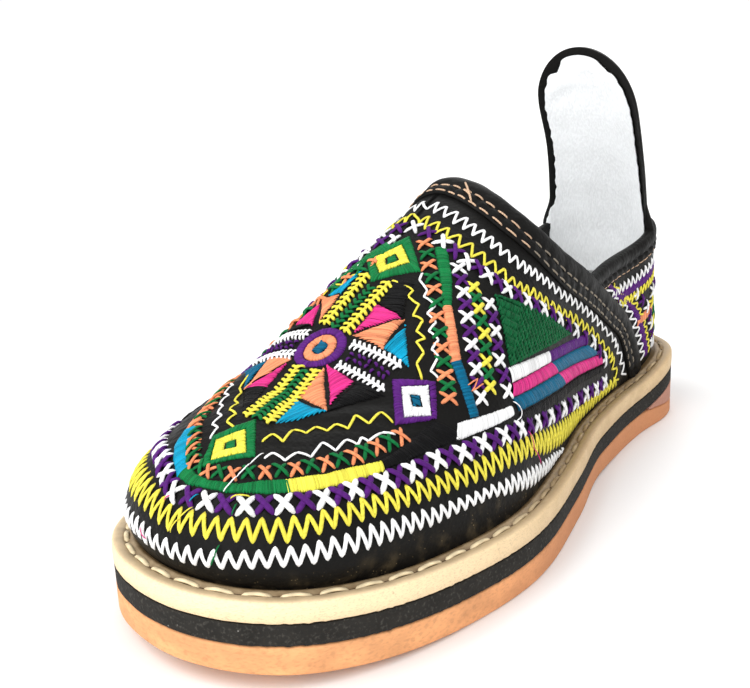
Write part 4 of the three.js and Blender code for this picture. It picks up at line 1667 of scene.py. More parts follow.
def spread(line, count):
    """Evenly spaced spots along a line of spots."""
    line = np.array(line, dtype=float)
    travel = distances(line)
    return resampled(line, travel, np.linspace(0, travel[-1], count))


def length_of(line):
    """Length of a line of spots."""
    return float(np.linalg.norm(np.diff(np.array(line, dtype=float), axis=0), axis=1).sum())


def bearings(angle):
    """Directions along and across an angle."""
    turn = math.radians(angle)
    along = np.array([math.cos(turn), math.sin(turn)])
    return along, np.array([-along[1], along[0]])


def cuts(corners, along, across, spacing):
    """Lines over a convex patch: number, place across, and where the line enters and leaves it."""
    corners = np.array(corners, dtype=float)
    a, b = corners @ along, corners @ across
    for row, level in enumerate(np.arange(b.min() + spacing / 2, b.max(), spacing)):
        crossed = []
        for k in range(len(corners)):
            n = (k + 1) % len(corners)
            if (b[k] - level) * (b[n] - level) < 0:
                share = (level - b[k]) / (b[n] - b[k])
                crossed.append(a[k] + share * (a[n] - a[k]))
        if len(crossed) > 1:
            yield row, level, min(crossed), max(crossed)


def spine(start, end, pitch):
    """Directions along and across a line, and spots on it at a pitch."""
    start, end = np.array(start, dtype=float), np.array(end, dtype=float)
    along = unit(end - start)
    count = int(np.linalg.norm(end - start) / pitch)
    spots = start + along * (np.arange(count)[:, None] + 0.5) * pitch
    return along, np.array([-along[1], along[0]]), spots


# How deep the ends of a stitch go in, how thick a thread is for its width, and strands of satin
STITCH_DIP = 0.2
FLATNESS = 0.55
SATIN_WIDTH = 0.62
SATIN_ARCH = 0.42


class Needle:
    """Sews the pattern's stitches and keeps one mesh of threads for each yarn or floss."""

    def __init__(self, seed):
        self.rng = np.random.default_rng(seed)
        self.work = {}

    def shaken(self, spots, amount):
        """Spots with the small irregularities of handwork."""
        spots = np.asarray(spots, dtype=float)
        return spots + self.rng.uniform(-amount, amount, spots.shape) if amount else spots

    def sew(self, kind, colour, where, starts, ends, width, arch, lift=0.0, steps=7, shake=(0, 0)):
        """Straight stitches between spots of a chart. shake is how far both ends may be off."""
        starts, ends = (self.shaken(spots, amount) for spots, amount in zip((starts, ends), shake))
        share = np.linspace(0, 1, steps)[None, :, None]
        spots = (starts[:, None, :] * (1 - share) + ends[:, None, :] * share) * MM
        points, normals = where.place(spots)
        bow = np.sin(np.linspace(0, math.pi, steps)) ** 0.45
        high = arch * self.rng.uniform(0.85, 1.15, len(starts))
        rise = lift - STITCH_DIP + (STITCH_DIP + high)[:, None] * bow[None, :]
        points = points + normals * (rise * MM)[..., None]
        key = (kind, colour)
        if key not in self.work:
            self.work[key] = Threads(sides=6, seed=len(self.work) + 7)
        self.work[key].add(points, normals, width * MM, FLATNESS * width * MM)

    def path(self, colour, where, line, width=0.75, lift=0.0):
        """A thread through every spot of a line, one stitch from each to the next."""
        line = self.shaken(line, 0.15)
        step = unit(line[1:] - line[:-1]) * 0.25
        self.sew("yarn", colour, where, line[:-1] - step, line[1:] + step, width, 0.28, lift)

    def zigzag(self, colour, where, low, high, start, end, period, width=1.1, limit=None):
        """Zigzag between two lines. low, high and period are pairs of places and values. limit says which
        tips are sewn."""
        at = [start]
        while at[-1] < end:
            at.append(at[-1] + 0.5 * np.interp(at[-1], *period) * self.rng.uniform(0.93, 1.07))
        at = np.array(at)
        outer = np.interp(at, *low)
        inner = np.interp(at, *high)
        tips = self.shaken(np.where(np.arange(len(at)) % 2 == 0, outer, inner), 0.22)
        line = np.column_stack([at, tips])
        if limit is not None:
            line = line[limit(line)]
        step = unit(line[1:] - line[:-1]) * 0.3
        starts, ends = line[:-1] - step, line[1:] + step
        near = np.abs(line[1:, 0] - line[:-1, 0]) < 2 * np.interp(line[1:, 0], *period)
        self.sew("yarn", colour, where, starts[near], ends[near], width, 0.35)

    def crosses(self, colour, where, spots, directions, tall=4.9, wide=4.3, width=1.35):
        """Cross stitches: the second leg lies over the first."""
        spots = np.asarray(spots, dtype=float)
        along = unit(np.asarray(directions, dtype=float))
        across = np.column_stack([-along[:, 1], along[:, 0]])
        for turn, lift in ((1, 0.0), (-1, 0.45)):
            half = along * wide / 2 + turn * across * tall / 2
            shake = (0.22, 0.22)
            self.sew("yarn", colour, where, spots - half, spots + half, width, 0.35 + lift, shake=shake)

    def cross_row(self, first, second, where, spots, tall=4.9, wide=4.3, width=1.35):
        """Row of crosses in two colours, the second midway between spots of the first."""
        spots = np.array(spots, dtype=float)
        middles = (spots[:-1] + spots[1:]) / 2
        row = np.empty((len(spots) + len(middles), 2))
        row[0::2], row[1::2] = spots, middles
        heading = np.gradient(row, axis=0)
        self.crosses(first, where, row[0::2], heading[0::2], tall, wide, width)
        self.crosses(second, where, row[1::2], heading[1::2], tall, wide, width)

    def satin(self, colour, where, first, second, spacing=0.4):
        """Satin stitch between two lines."""
        count = max(2, int(max(length_of(first), length_of(second)) / spacing))
        starts, ends = spread(first, count), spread(second, count)
        self.sew("floss", colour, where, starts, ends, SATIN_WIDTH, SATIN_ARCH, shake=(0.1, 0.1))

    def ring(self, colour, where, outer, inner):
        """Satin stitch between two closed lines with matching corners."""
        for k in range(len(outer)):
            n = (k + 1) % len(outer)
            self.satin(colour, where, [outer[k], outer[n]], [inner[k], inner[n]], 0.44)

    def fill(self, colour, where, corners, angle, spacing=0.42, arch=0.36):
        """Satin stitch over a convex patch, in strands at an angle."""
        along, across = bearings(angle)
        starts, ends = [], []
        for _, level, low, high in cuts(corners, along, across, spacing):
            starts.append(along * low + across * level)
            ends.append(along * high + across * level)
        self.sew("floss", colour, where, starts, ends, 0.6, arch, shake=(0.14, 0.14))

    def bricks(self, colour, where, corners, angle):
        """Short stitches in rows over a convex patch, each row shifted by half a stitch."""
        along, across = bearings(angle)
        spacing, reach = 0.72, 3.0
        starts, ends = [], []
        for row, level, enter, leave in cuts(corners, along, across, spacing):
            lean = self.rng.uniform(-0.25, 0.25)
            for low in np.arange(enter - reach * (0.5 if row % 2 else 0), leave, reach):
                first, last = max(low, enter), min(low + reach, leave)
                if last - first > 0.5:
                    starts.append(along * first + across * (level - lean))
                    ends.append(along * last + across * (level + lean))
        self.sew("floss", colour, where, starts, ends, 0.85, 0.5, steps=5, shake=(0.12, 0.2))

    def wheat(self, colour, where, start, end, half=1.8, pitch=1.75, width=1.0):
        """Row of slanted stitches on both sides of a line, as an ear of wheat."""
        along, across, spots = spine(start, end, pitch)
        for side in (1, -1):
            tips = spots - along * 0.35 + side * across * half
            self.sew("yarn", colour, where, tips, spots + along * 0.5, width, 0.55, 0.05, shake=(0.2, 0))
        self.sew("yarn", colour, where, spots - along * 0.7, spots + along * 1.2, width * 1.2, 0.5)

    def plait(self, colour, where, start, end):
        """Row of slanted stitches that cross the line by turns."""
        along, across, spots = spine(start, end, 1.8)
        for side in (1, -1):
            feet = spots - along * 0.5 - side * across * 0.3
            tips = spots + side * across * 1.6 + along * 0.9
            self.sew("yarn", colour, where, feet, tips, 1.1, 0.5, 0.05, shake=(0, 0.2))

    def seeds(self, colour, where, start, end):
        """Two rows of short scattered stitches."""
        _, across, middles = spine(start, end, 1.9)
        for side in (1, -1):
            spots = self.shaken(middles + side * across * 0.9, 0.25)
            turn = self.rng.uniform(0, math.pi, len(spots))
            reach = 0.7 * np.column_stack([np.cos(turn), np.sin(turn)])
            self.sew("yarn", colour, where, spots - reach, spots + reach, 0.9, 0.5, 0.1, steps=5)

    def meshes(self, prefix):
        """One object for each yarn or floss."""
        for (kind, colour), threads in self.work.items():
            name = f"{colour}_{kind}"
            if name not in materials_made:
                make = yarn_material if kind == "yarn" else floss_material
                make(name, getattr(colours(), colour))
            finish_piece(threads.mesh(f"{prefix}_{name}", materials_made[name]), "black_leather")


# Rows along the feather line: place from the toe tip, outer side positive, and height up the rib
WHITE_LOW = (
    (-132, -125, -115, -108, -99, -91, -50, -31, 0, 32, 39, 46, 91, 99, 108, 115, 125, 132, 150),
    (0.6, 1.3, 2.3, 4.4, 6.4, 8.4, 8.5, 6.3, 5, 8, 8.9, 8.7, 8.4, 6.4, 4.4, 2.3, 1.3, 0.6, 0.6),
)
WHITE_HIGH = (
    (-149, -136, -128, -115, -102, -86, -51, -31, -15, -7, 1, 12, 24, 31, 44, 51, 86, 94, 102, 115, 128,
     136, 149),
    (0.9, 4.1, 5.5, 8.5, 10.7, 11.8, 13.5, 10.9, 11.2, 9.9, 9.7, 10.3, 12, 12.6, 14.3, 14, 11.8, 11.2, 10.7,
     8.5, 5.5, 4.1, 0.9),
)
YELLOW_LOW = (
    (-172, -158, -145, -132, -116, -100, -83, -53, -38, -16, -3, 3, 17, 26, 32, 39, 53, 83, 91, 100, 110,
     116, 132, 145, 158, 172, 214),
    (0.6, 1.2, 3.5, 6.1, 11.2, 13.2, 14.1, 15.6, 13.7, 13.6, 11.7, 12.3, 13, 13.2, 14.1, 15.6, 15.6, 14.1,
     13.5, 13.2, 12.2, 11.2, 6.1, 3.5, 1.2, 0.6, 0.6),
)
YELLOW_HIGH = (
    (-213, -203, -187, -173, -158, -143, -129, -116, -108, -100, -84, -55, -40, -23, -11, -3, 6, 16, 27, 36,
     44, 55, 84, 95, 100, 108, 116, 129, 143, 158, 173, 187, 203, 213),
    (4.4, 4.6, 5.9, 6.9, 8.6, 11.4, 14.5, 17.8, 18.9, 20.1, 19.5, 20.9, 21.8, 21.5, 19.6, 17.9, 18.5, 18.3,
     19.2, 20, 21.1, 20.9, 19.5, 19.8, 20.1, 18.9, 17.8, 14.5, 11.4, 8.6, 6.9, 5.9, 4.6, 4.4),
)
CROSS_ROW = (
    (-200, 5.8), (-191, 5.9), (-180, 7.7), (-167, 9.3), (-150, 12.9), (-135, 15.8), (-122, 18.5),
    (-110, 20.6), (-101, 21.8), (-92, 22.4), (-82, 23.2), (-72, 23.6), (-62, 24), (-52, 24.6), (-42, 25.6),
    (-33, 26.3), (-24, 26.4), (-15, 23.7), (-6, 21.1), (6, 21.3), (17, 21.9), (27, 22.8), (38, 23.2),
    (47, 23.7), (57, 23.1), (67, 23.1), (77, 23.4), (86, 22.6), (94, 22.4), (103, 21.8), (112, 20.6),
    (124, 18.5), (137, 15.8), (152, 12.9), (169, 9.3), (182, 7.7), (193, 5.9), (202, 5.8),
)

# Bands of satin round the toe, in plan: outer line and inner line
TOE_BANDS = (
    ("salmon", ((-33, -66), (-31, -73), (-28, -82), (-24.5, -90), (-20.9, -97)),
     ((-29.6, -66), (-27.8, -73), (-24.8, -81), (-21.3, -89), (-17.7, -95.8))),
    ("cyan", ((-20.9, -97), (-18.4, -103.5), (-13.6, -108.7), (-7.3, -113.3)),
     ((-17.7, -95.8), (-13.6, -102), (-9.6, -107), (-6, -109.9))),
    ("green", ((-7.3, -113.3), (-1.3, -114.8), (9.5, -113.2), (17.9, -108.4), (21.7, -104.5)),
     ((-6, -109.9), (-1.5, -111.6), (3.2, -112.1), (10.8, -109.8), (18.9, -102.3))),
    ("yellow", ((21.7, -104.5), (24.3, -101.4), (29.9, -91), (32.6, -81.8)),
     ((18.9, -102.3), (23.8, -94.8), (28.0, -86.5), (30.6, -80.6))),
)
TOE_CROSSES = (
    (-30.2, -70.5), (-27.6, -75), (-25.4, -80.5), (-23, -86), (-18.5, -95.5), (-12.6, -101.6), (-9.8, -105),
    (-5.4, -108.9), (0.8, -110.1), (7.2, -108.5), (13.8, -104.2), (18.7, -98.6), (22.5, -91.9), (26, -85.1),
    (28.1, -78.5), (29.9, -70.5),
)

FINE_WHITE = (
    ((11.1, -101), (11.4, -98.5), (15.4, -98.5), (15.7, -94.6), (19, -93.1), (18, -87.7), (22.2, -87.2),
     (21.8, -82.6), (24.7, -81.9), (24.2, -79.6), (25.9, -79), (26.4, -74.1), (28.7, -71.4)),
    ((7.4, -27), (7.9, -29.5), (11.8, -30.9), (12, -33.4), (16, -33.5), (15.7, -37.2), (18.7, -37.3),
     (18.6, -40.9), (21.9, -40.9), (22, -44.5), (24.3, -44.5), (24.9, -49.3), (27.3, -49.3)),
    ((-7.3, -101), (-8.7, -96.8), (-12, -95.8), (-12.3, -91.6), (-15.4, -90.4), (-17.4, -86.2),
     (-20.1, -84.9), (-20.9, -80.5), (-23.6, -79.2), (-24.2, -75), (-27.2, -73.2)),
)
FINE_YELLOW = (
    ((6.9, -97), (6.9, -93.5), (11, -94.2), (9.7, -88.6), (13.1, -87.5), (13, -84.1), (16.6, -83.6),
     (16.7, -80.3), (19.9, -79.6), (19, -75.2), (23, -74.7), (22.7, -69.3), (26.4, -69.4)),
    ((1, -33.3), (4.4, -33.3), (8.4, -33.4), (8.2, -35.9), (12.4, -35.9), (12.6, -39.7), (16.1, -39.7),
     (16.2, -43.3), (19, -43.3), (18, -45.8), (21.2, -46.9), (21.3, -50.5), (24.4, -52.9)),
    ((-3.9, -95.7), (-8.1, -94.2), (-8.2, -90.7), (-12.5, -88.6), (-13, -84.5), (-16.4, -82.6),
     (-17.5, -78.9), (-20.4, -76.4), (-22.6, -68.6)),
)

# Four-cornered motifs in plan: front, outer, rear and inner corners of ground and ring, and the middle
DIAMONDS = (
    {"ground": ("green", ((-2.3, -110.3), (8.9, -102), (-0.6, -91), (-7.1, -99.8))),
     "ring": ("yellow", ((-1, -107.7), (6, -102), (-0.2, -95.4), (-5.2, -101.4))),
     "middle": ("green", (0.3, -101.5), 2.1)},
    {"ground": ("green", ((-4.9, -35.7), (6.8, -26.9), (-4.4, -16.1), (-13.1, -26.8))),
     "ring": ("yellow", ((-4.4, -31.9), (2, -25.5), (-4.6, -20.1), (-10.6, -26.7))),
     "middle": ("green", (-3.9, -26.3), 2.4)},
    {"ground": ("purple", ((27.2, -69.4), (32.1, -57.4), (27.3, -50.5), (18.8, -58.8))),
     "ring": ("white", ((27.2, -65.3), (31, -58.4), (26.5, -52.8), (21.8, -58.8))),
     "middle": ("teal", (26.5, -58.8), 2.0)},
)
# Patches of the quadrants in plan: colour, corners, angle of the strands
PATCHES = (
    ("black", ((1.3, -42.1), (1, -33.3), (8, -31), (11.2, -42.1)), 20),
    ("magenta", ((1.3, -42.1), (11.2, -42.1), (1.3, -52)), 15),
    ("salmon", ((1, -53.2), (11.5, -42.1), (11.8, -53)), 20),
    ("cyan", ((12.7, -43.3), (11.8, -53), (20.2, -52.9)), 80),
    ("black", ((-6, -90), (-10, -76), (-17.9, -78)), 20),
    ("magenta", ((-10.1, -76.1), (-17.9, -78), (-11.1, -67)), 15),
    ("salmon", ((-10.6, -63.7), (-20.3, -63.8), (-17.6, -78)), 60),
    ("teal", ((-18, -77), (-20.3, -63.8), (-27, -67)), 80),
    ("cyan", ((4.9, -90.6), (2.3, -78.5), (12.2, -78.3)), 75),
    ("salmon", ((1.5, -77.5), (1.2, -65.5), (12.2, -78.3)), 60),
    ("magenta", ((1.4, -64.5), (11.5, -65.4), (11.4, -76)), 70),
    ("black", ((11.5, -65.4), (12.2, -78.3), (21, -64)), 20),
    ("cyan", ((-10.7, -30.6), (-12, -41), (-17.3, -39.8)), 75),
    ("salmon", ((-12.2, -40.9), (-20, -39.9), (-11.9, -50.9)), 60),
    ("magenta", ((-18.5, -42.3), (-22.4, -49.8), (-13.7, -52.2)), 70),
    ("black", ((-13.7, -52.2), (-22.4, -49.8), (-26, -53)), 20),
)
# Rows beside the panel behind the quadrants, in space on the outer side
PANEL_CROSSES = (
    (2.2, -17.7, 87), (7.9, -24.4, 83), (13.7, -29.7, 77), (18.7, -36, 70.6), (23.7, -42.1, 63.5),
    (28, -46.9, 57.9), (31.5, -50.4, 53.1),
)
PANEL_BAND = (
    ("green", ((5.4, -17.8, 85.5), (11.5, -25, 79.2), (17.6, -32.3, 72.3)),
     ((8.3, -15.2, 84.9), (14.4, -22.4, 79), (19.5, -29.8, 72.2))),
    ("salmon", ((17.6, -32.3, 72.3), (22.6, -38.3, 66.3), (27, -43.3, 60.4)),
     ((19.5, -29.8, 72.2), (24.4, -35.4, 66), (28.7, -39.8, 60.4))),
    ("teal", ((27, -43.3, 60.4), (36.2, -48, 48.2)), ((28.7, -39.8, 60.4), (37.4, -45, 48.2))),
)
COLUMNS = (
    ("white", "purple", ((14.3, -18, 80.2), (19.2, -23.4, 74.8), (23.5, -28.6, 69.2), (27.9, -33.7, 63.2),
                         (31.7, -37.4, 57.7), (35.6, -41, 51.3))),
    ("yellow", "green", ((20, -19.5, 75.3), (23.9, -23.5, 70.4), (28.1, -27.4, 64.8), (31.9, -32.5, 58.8),
                         (35.3, -36.2, 52.9))),
    ("white", "purple", ((24.6, -18.4, 70.9), (29.1, -22.4, 64.4), (33.2, -27.5, 57.6),
                         (37.2, -30.1, 50.2))),
)
# Height over the floor at which the throat's rows end
CLEAR_OF_WELT = 0.0212
THROAT_CROSSES = (
    (5.9, -13.8, 86.4), (14.4, -14.1, 81.6), (20.1, -11.7, 77.3), (24.1, -7.8, 73), (26.9, -1.3, 68.3),
    (28.3, 6.5, 63.9), (28.3, 17, 58.5), (27.1, 30.4, 51.4), (25.6, 46.1, 43), (24.5, 57.3, 33.8),
)
# Zigzags round the throat: places from its peak; colour, both lines as distance from the edge, period
THROAT_PLACES = (0, 6, 10, 15, 20, 26, 30, 37, 45, 58, 75, 92, 105, 118)
THROAT_ROWS = (
    ("white", (13, 14.2, 15, 15.3, 16, 16.2, 16, 14.4, 12.8, 10.9, 10, 10, 10.6, 9.6),
     (18, 19.4, 20, 20.8, 21.2, 21, 20.4, 18, 16.2, 14.3, 13.1, 12.3, 13.6, 13.2),
     (4.8, 4.8, 4.3, 3.0, 2.2, 2.0, 2.0, 2.4, 3.3, 4.4, 5.2, 6.2, 6.8, 6.2)),
    ("yellow", (20, 21.6, 22.3, 23, 23.6, 24.6, 24.8, 21.6, 19.4, 16.2, 15, 15, 15.8, 15.4),
     (26, 27, 27.4, 28, 28.7, 29.6, 29.2, 26, 22.8, 20, 18.3, 18, 19.3, 20),
     (6.4, 5.2, 4.4, 3.5, 2.9, 1.9, 1.8, 2.5, 3.4, 5.0, 5.9, 6.8, 7.4, 7.4)),
)
# Patch and bars in the side view of the outer side: a bar's colour, upper line and lower line
GREEN_PATCH = ((-14.4, 72.7), (25, 51.9), (-23.8, 55.6))
BARS = (
    ("white", ((-25.1, 55.5), (2.5, 52.6)), ((-26.4, 51.5), (2.4, 49.2))),
    ("purple", ((2.5, 52.6), (38.5, 47.9)), ((2.4, 49.2), (39.8, 43.8))),
    ("magenta", ((-26.4, 51.5), (2.4, 49.2)), ((-28.9, 48.2), (7.6, 44.4))),
    ("teal", ((2.4, 49.2), (39.8, 43.8)), ((7.6, 44.4), (52.4, 36.6))),
    ("teal", ((-28.9, 48.2), (7.6, 44.4)), ((-28, 44), (14.1, 38.5))),
    ("magenta", ((7.6, 44.4), (52.4, 36.6)), ((14.1, 38.5), (56.1, 32.1))),
    ("white", ((-52.7, 47.7), (-31.4, 46.6)), ((-56.2, 44.1), (-31.4, 43.6))),
)
DARK_BAND = (((-28, 44), (14.1, 38.5), (56.1, 32.1)), ((-28, 39.5), (14, 35), (54, 29.6)))
# Braids in front of the disc and behind it in plan: stitch, colour, both ends, half width of an ear
BRAIDS = (
    ("wheat", "yellow", (-6.6, -66.5), (-3.8, -92.6), 2.0),
    ("plait", "green", (-3.4, -67.5), (-0.6, -91.5)),
    ("wheat", "yellow", (-0.4, -66.5), (3.2, -91.6), 2.0),
    ("wheat", "yellow", (-9.6, -52.1), (-8.0, -32.1), 2.1),
    ("plait", "green", (-5.7, -53), (-3.4, -36)),
    ("wheat", "yellow", (-1.5, -53.2), (0.8, -32.6), 2.1),
)
# Arms beside the disc in plan: both ears of wheat and the row of seeds between them
ARMS = (((3, -55.8), (19.8, -54.3)), ((3.7, -63.3), (20, -63.3)))
SEEDS = ((4.6, -59.3), (18.5, -58.9))
# The disc in plan: its middle, both radii of its three circles, and its square
DISC_MIDDLE = np.array([-4.9, -59.6])
DISC_RADII = ((7.7, 7.3), (4.7, 4.9), (2.0, 2.1))
DISC_SQUARE = ((-2.2, -1.6), (1.3, -2.3), (2.2, 1.5), (-1.3, 2.3))
# Dark satin behind the yellow band in the chart of the feather line
DARK_SATIN = (((60, 25.7), (75, 26), (89, 25.7)), ((60, 28.9), (72, 31), (83, 33.5)))
# Loose thread ends in the chart of the feather line
LOOSE_ENDS = (
    ("white", ((19.7, 37), (15.7, 33.5), (12.9, 29), (10.4, 24.5))),
    ("magenta", ((-13.2, 9.5), (-10.4, 8))),
    ("green", ((12.1, 11.5), (11.3, 9.5), (10.4, 7))),
    ("cyan", ((1.6, 20), (2.8, 22))),
    ("yellow", ((-1.2, 12), (0, 15), (2.8, 18.5))),
    ("magenta", ((-7.2, 18), (-6.0, 19.5))),
    ("magenta", ((115.3, 18.5), (116.5, 13.5), (120.9, 7))),
    ("white", ((111.7, 28.5), (113.7, 26), (112.9, 24), (110.5, 23.5))),
    ("orange", ((98.8, 38.5), (102.5, 39), (98.8, 36.5), (103.7, 37))),
    ("green", ((14.1, 19), (14.9, 21.5))),
    ("yellow", ((12.9, 23), (14.5, 24), (17.7, 24))),
)


class SHOE_OT_borders(bpy.types.Operator):
    """Sew the rows along the feather line and round the throat"""

    bl_idname = "shoe.borders"
    bl_label = "Sew Borders"

    def execute(self, context):
        needle = Needle(21)
        feather = chart("feather")
        front = ((-200, -60, 0, 60, 200), (3.3, 3.5, 3.4, 3.4, 3.1))
        needle.zigzag("white", feather, WHITE_LOW, WHITE_HIGH, -149, 149, front)
        slow = ((-200, -60, 0, 60, 200), (3.6, 3.9, 3.8, 3.7, 3.4))
        needle.zigzag("yellow", feather, YELLOW_LOW, YELLOW_HIGH, -213, 213, slow)
        needle.cross_row("white", "purple", feather, CROSS_ROW, tall=5.3, wide=4.9, width=1.6)
        self.throat(needle)
        for colour, line in LOOSE_ENDS:
            needle.path(colour, feather, line, width=0.4, lift=0.9)
        needle.meshes("border")
        return {"FINISHED"}

    @staticmethod
    def throat(needle):
        """Zigzags and crosses that follow the throat."""
        throat = chart("throat")
        start, end = (value / MM for value in chart_ends(throat))

        def both(places, values):
            """A table that runs to both sides from the peak."""
            return tuple(-p for p in places[:0:-1]) + places, values[:0:-1] + values

        def over_welt(line):
            """Which spots lie clear of the welt."""
            points, _ = throat.place(line * MM)
            return points[:, 2] > CLEAR_OF_WELT

        for colour, low, high, gaps in THROAT_ROWS:
            needle.zigzag(
                colour, throat, both(THROAT_PLACES, low), both(THROAT_PLACES, high), start + 1.5, end - 1.5,
                both(THROAT_PLACES, gaps), width=0.9, limit=over_welt,
            )
        feather = chart("feather")
        row = feather.locate(np.array(THROAT_CROSSES) * MM) / MM
        peak = ((-16.5, -13.6), (-5.4, -12.2), (5.9, -13.8))
        for where, spots in ((feather, row), (feather, row * [-1, 1]), (chart("plan"), peak)):
            needle.cross_row("white", "purple", where, spots, tall=4.9, wide=4.6, width=1.35)


class SHOE_OT_front(bpy.types.Operator):
    """Sew the front of the vamp: toe bands, braids, motifs and quadrants"""

    bl_idname = "shoe.front"
    bl_label = "Sew Front"

    def execute(self, context):
        needle = Needle(22)
        plan = chart("plan")
        for colour, outer, inner in TOE_BANDS:
            needle.satin(colour, plan, outer, inner)
        needle.cross_row("orange", "green", plan, TOE_CROSSES, tall=4.1, wide=3.4, width=1.05)
        for line in FINE_WHITE:
            needle.path("white", plan, line)
        for line in FINE_YELLOW:
            needle.path("yellow", plan, line)
        needle.path("white", plan, mirrored(FINE_WHITE[1]))
        needle.path("yellow", plan, mirrored(FINE_YELLOW[1]))
        for corners in (*DIAMONDS, self.other_side(DIAMONDS[2])):
            self.diamond(needle, plan, corners)
        for colour, corners, angle in PATCHES:
            needle.fill(colour, plan, corners, angle)
        self.braids(needle, plan)
        self.arms(needle, plan)
        self.disc(needle, plan)
        self.dark_bands(needle)
        needle.meshes("front")
        return {"FINISHED"}

    @staticmethod
    def other_side(motif):
        """The same motif on the inner side."""
        ground, ring, (colour, centre, size) = motif["ground"], motif["ring"], motif["middle"]
        return {
            "ground": (ground[0], mirrored(ground[1])),
            "ring": (ring[0], mirrored(ring[1])),
            "middle": (colour, tuple(mirrored([centre])[0]), size),
        }

    @staticmethod
    def diamond(needle, plan, motif):
        """A four-cornered ground with a ring and a small middle."""
        ground, ring = np.array(motif["ground"][1]), np.array(motif["ring"][1])
        colour, centre, size = motif["middle"]
        centre = np.array(centre)
        hole = centre + unit(ring - centre) * size
        needle.ring(motif["ground"][0], plan, ground, ring)
        needle.ring(motif["ring"][0], plan, ring, hole)
        needle.fill(colour, plan, centre + (hole - centre) * 0.85, 35, arch=0.15)

    @staticmethod
    def braids(needle, plan):
        """Ears of wheat with a plait between them, in front of the disc and behind it."""
        for stitch, colour, *place in BRAIDS:
            getattr(needle, stitch)(colour, plan, *place)

    @staticmethod
    def arms(needle, plan):
        """White ears of wheat with purple seeds between them, to both sides of the disc."""
        for arm in ARMS:
            for start, end in (arm, mirrored(arm)):
                needle.wheat("white", plan, start, end, half=1.7, pitch=1.55, width=0.85)
        for start, end in (SEEDS, mirrored(SEEDS)):
            needle.seeds("purple", plan, start, end)

    @staticmethod
    def disc(needle, plan):
        """The round motif in the middle."""
        turn = np.linspace(0, 2 * math.pi, 25)
        circle = np.column_stack([np.cos(turn), np.sin(turn)])
        outer, middle, inner = (DISC_MIDDLE + circle * radii for radii in DISC_RADII)
        needle.satin("purple", plan, outer, middle)
        needle.satin("salmon", plan, middle, inner, spacing=0.36)
        needle.fill("teal", plan, DISC_MIDDLE + DISC_SQUARE, 15, arch=0.45)

    @staticmethod
    def dark_bands(needle):
        """Black satin from the yellow band back to the side motifs."""
        feather = chart("feather")
        for side in (1, -1):
            low, high = np.array(DARK_SATIN) * [side, 1]
            needle.satin("black", feather, low, high)


class SHOE_OT_panels(bpy.types.Operator):
    """Sew the panels on both sides behind the front"""

    bl_idname = "shoe.panels"
    bl_label = "Sew Side Panels"

    def execute(self, context):
        needle = Needle(23)
        feather = chart("feather")
        for side in (1, -1):

            def spots(points):
                """Chart spots of points in space, on either side."""
                return feather.locate(np.array(points) * MM) / MM * [side, 1]

            def side_spots(points):
                """Chart spots of points in the side view."""
                solid, _ = chart("outer").place(np.array(points, dtype=float) * MM)
                return feather.locate(solid) / MM * [side, 1]

            row = spots(PANEL_CROSSES)
            needle.cross_row("orange", "green", feather, row, tall=4.4, wide=3.9, width=1.2)
            for colour, first, second in PANEL_BAND:
                needle.satin(colour, feather, spots(first), spots(second))
            for first, second, row in COLUMNS:
                needle.cross_row(first, second, feather, spots(row), tall=4.6, wide=4.3, width=1.3)
            for colour, top, bottom in BARS:
                needle.satin(colour, feather, side_spots(top), side_spots(bottom))
            needle.fill("patch", feather, side_spots(GREEN_PATCH), 80, spacing=0.6, arch=0.1)
            needle.bricks("patch", feather, side_spots(GREEN_PATCH), 35 * side)
            needle.satin("black", feather, side_spots(DARK_BAND[0]), side_spots(DARK_BAND[1]))
        needle.meshes("panel")
        return {"FINISHED"}


# Rows of the quarters in the topline chart: colour, both lines as distance down, period
QUARTER_ROWS = (
    ("white", 9.6, 13.4, 3.3),
    ("purple", 12.2, 15.8, 1.1),
    ("yellow", 15.2, 18.8, 2.6),
)
# Rows of crosses on the quarters: distance down, both colours
QUARTER_CROSSES = ((22.0, "white", "purple"), (34.5, "yellow", "green"))
# Rows of the quarters along the vamp's edge: colour, both lines as distance behind the edge, period
FRONT_ROWS = (
    ("white", 3.2, 7.6, 4.0),
    ("purple", 6.6, 10.4, 1.1),
    ("yellow", 9.4, 12.6, 3.2),
)
# Crosses along the vamp's edge: distance behind it, both colours, height that they reach
FRONT_CROSSES = ((16.2, "white", "purple", 30.0), (20.6, "yellow", "green", 26.0))
# Rows of the quarters over the welt: colour, both lines as height, period
FOOT_ROWS = (("white", 2.0, 5.2, 3.2), ("yellow", 6.6, 9.8, 3.2))
# Bars of the quarters: colour and both ends as places from the heel
QUARTER_BARS = (("salmon", 30, 43), ("teal", 17, 30), ("magenta", 4, 17))


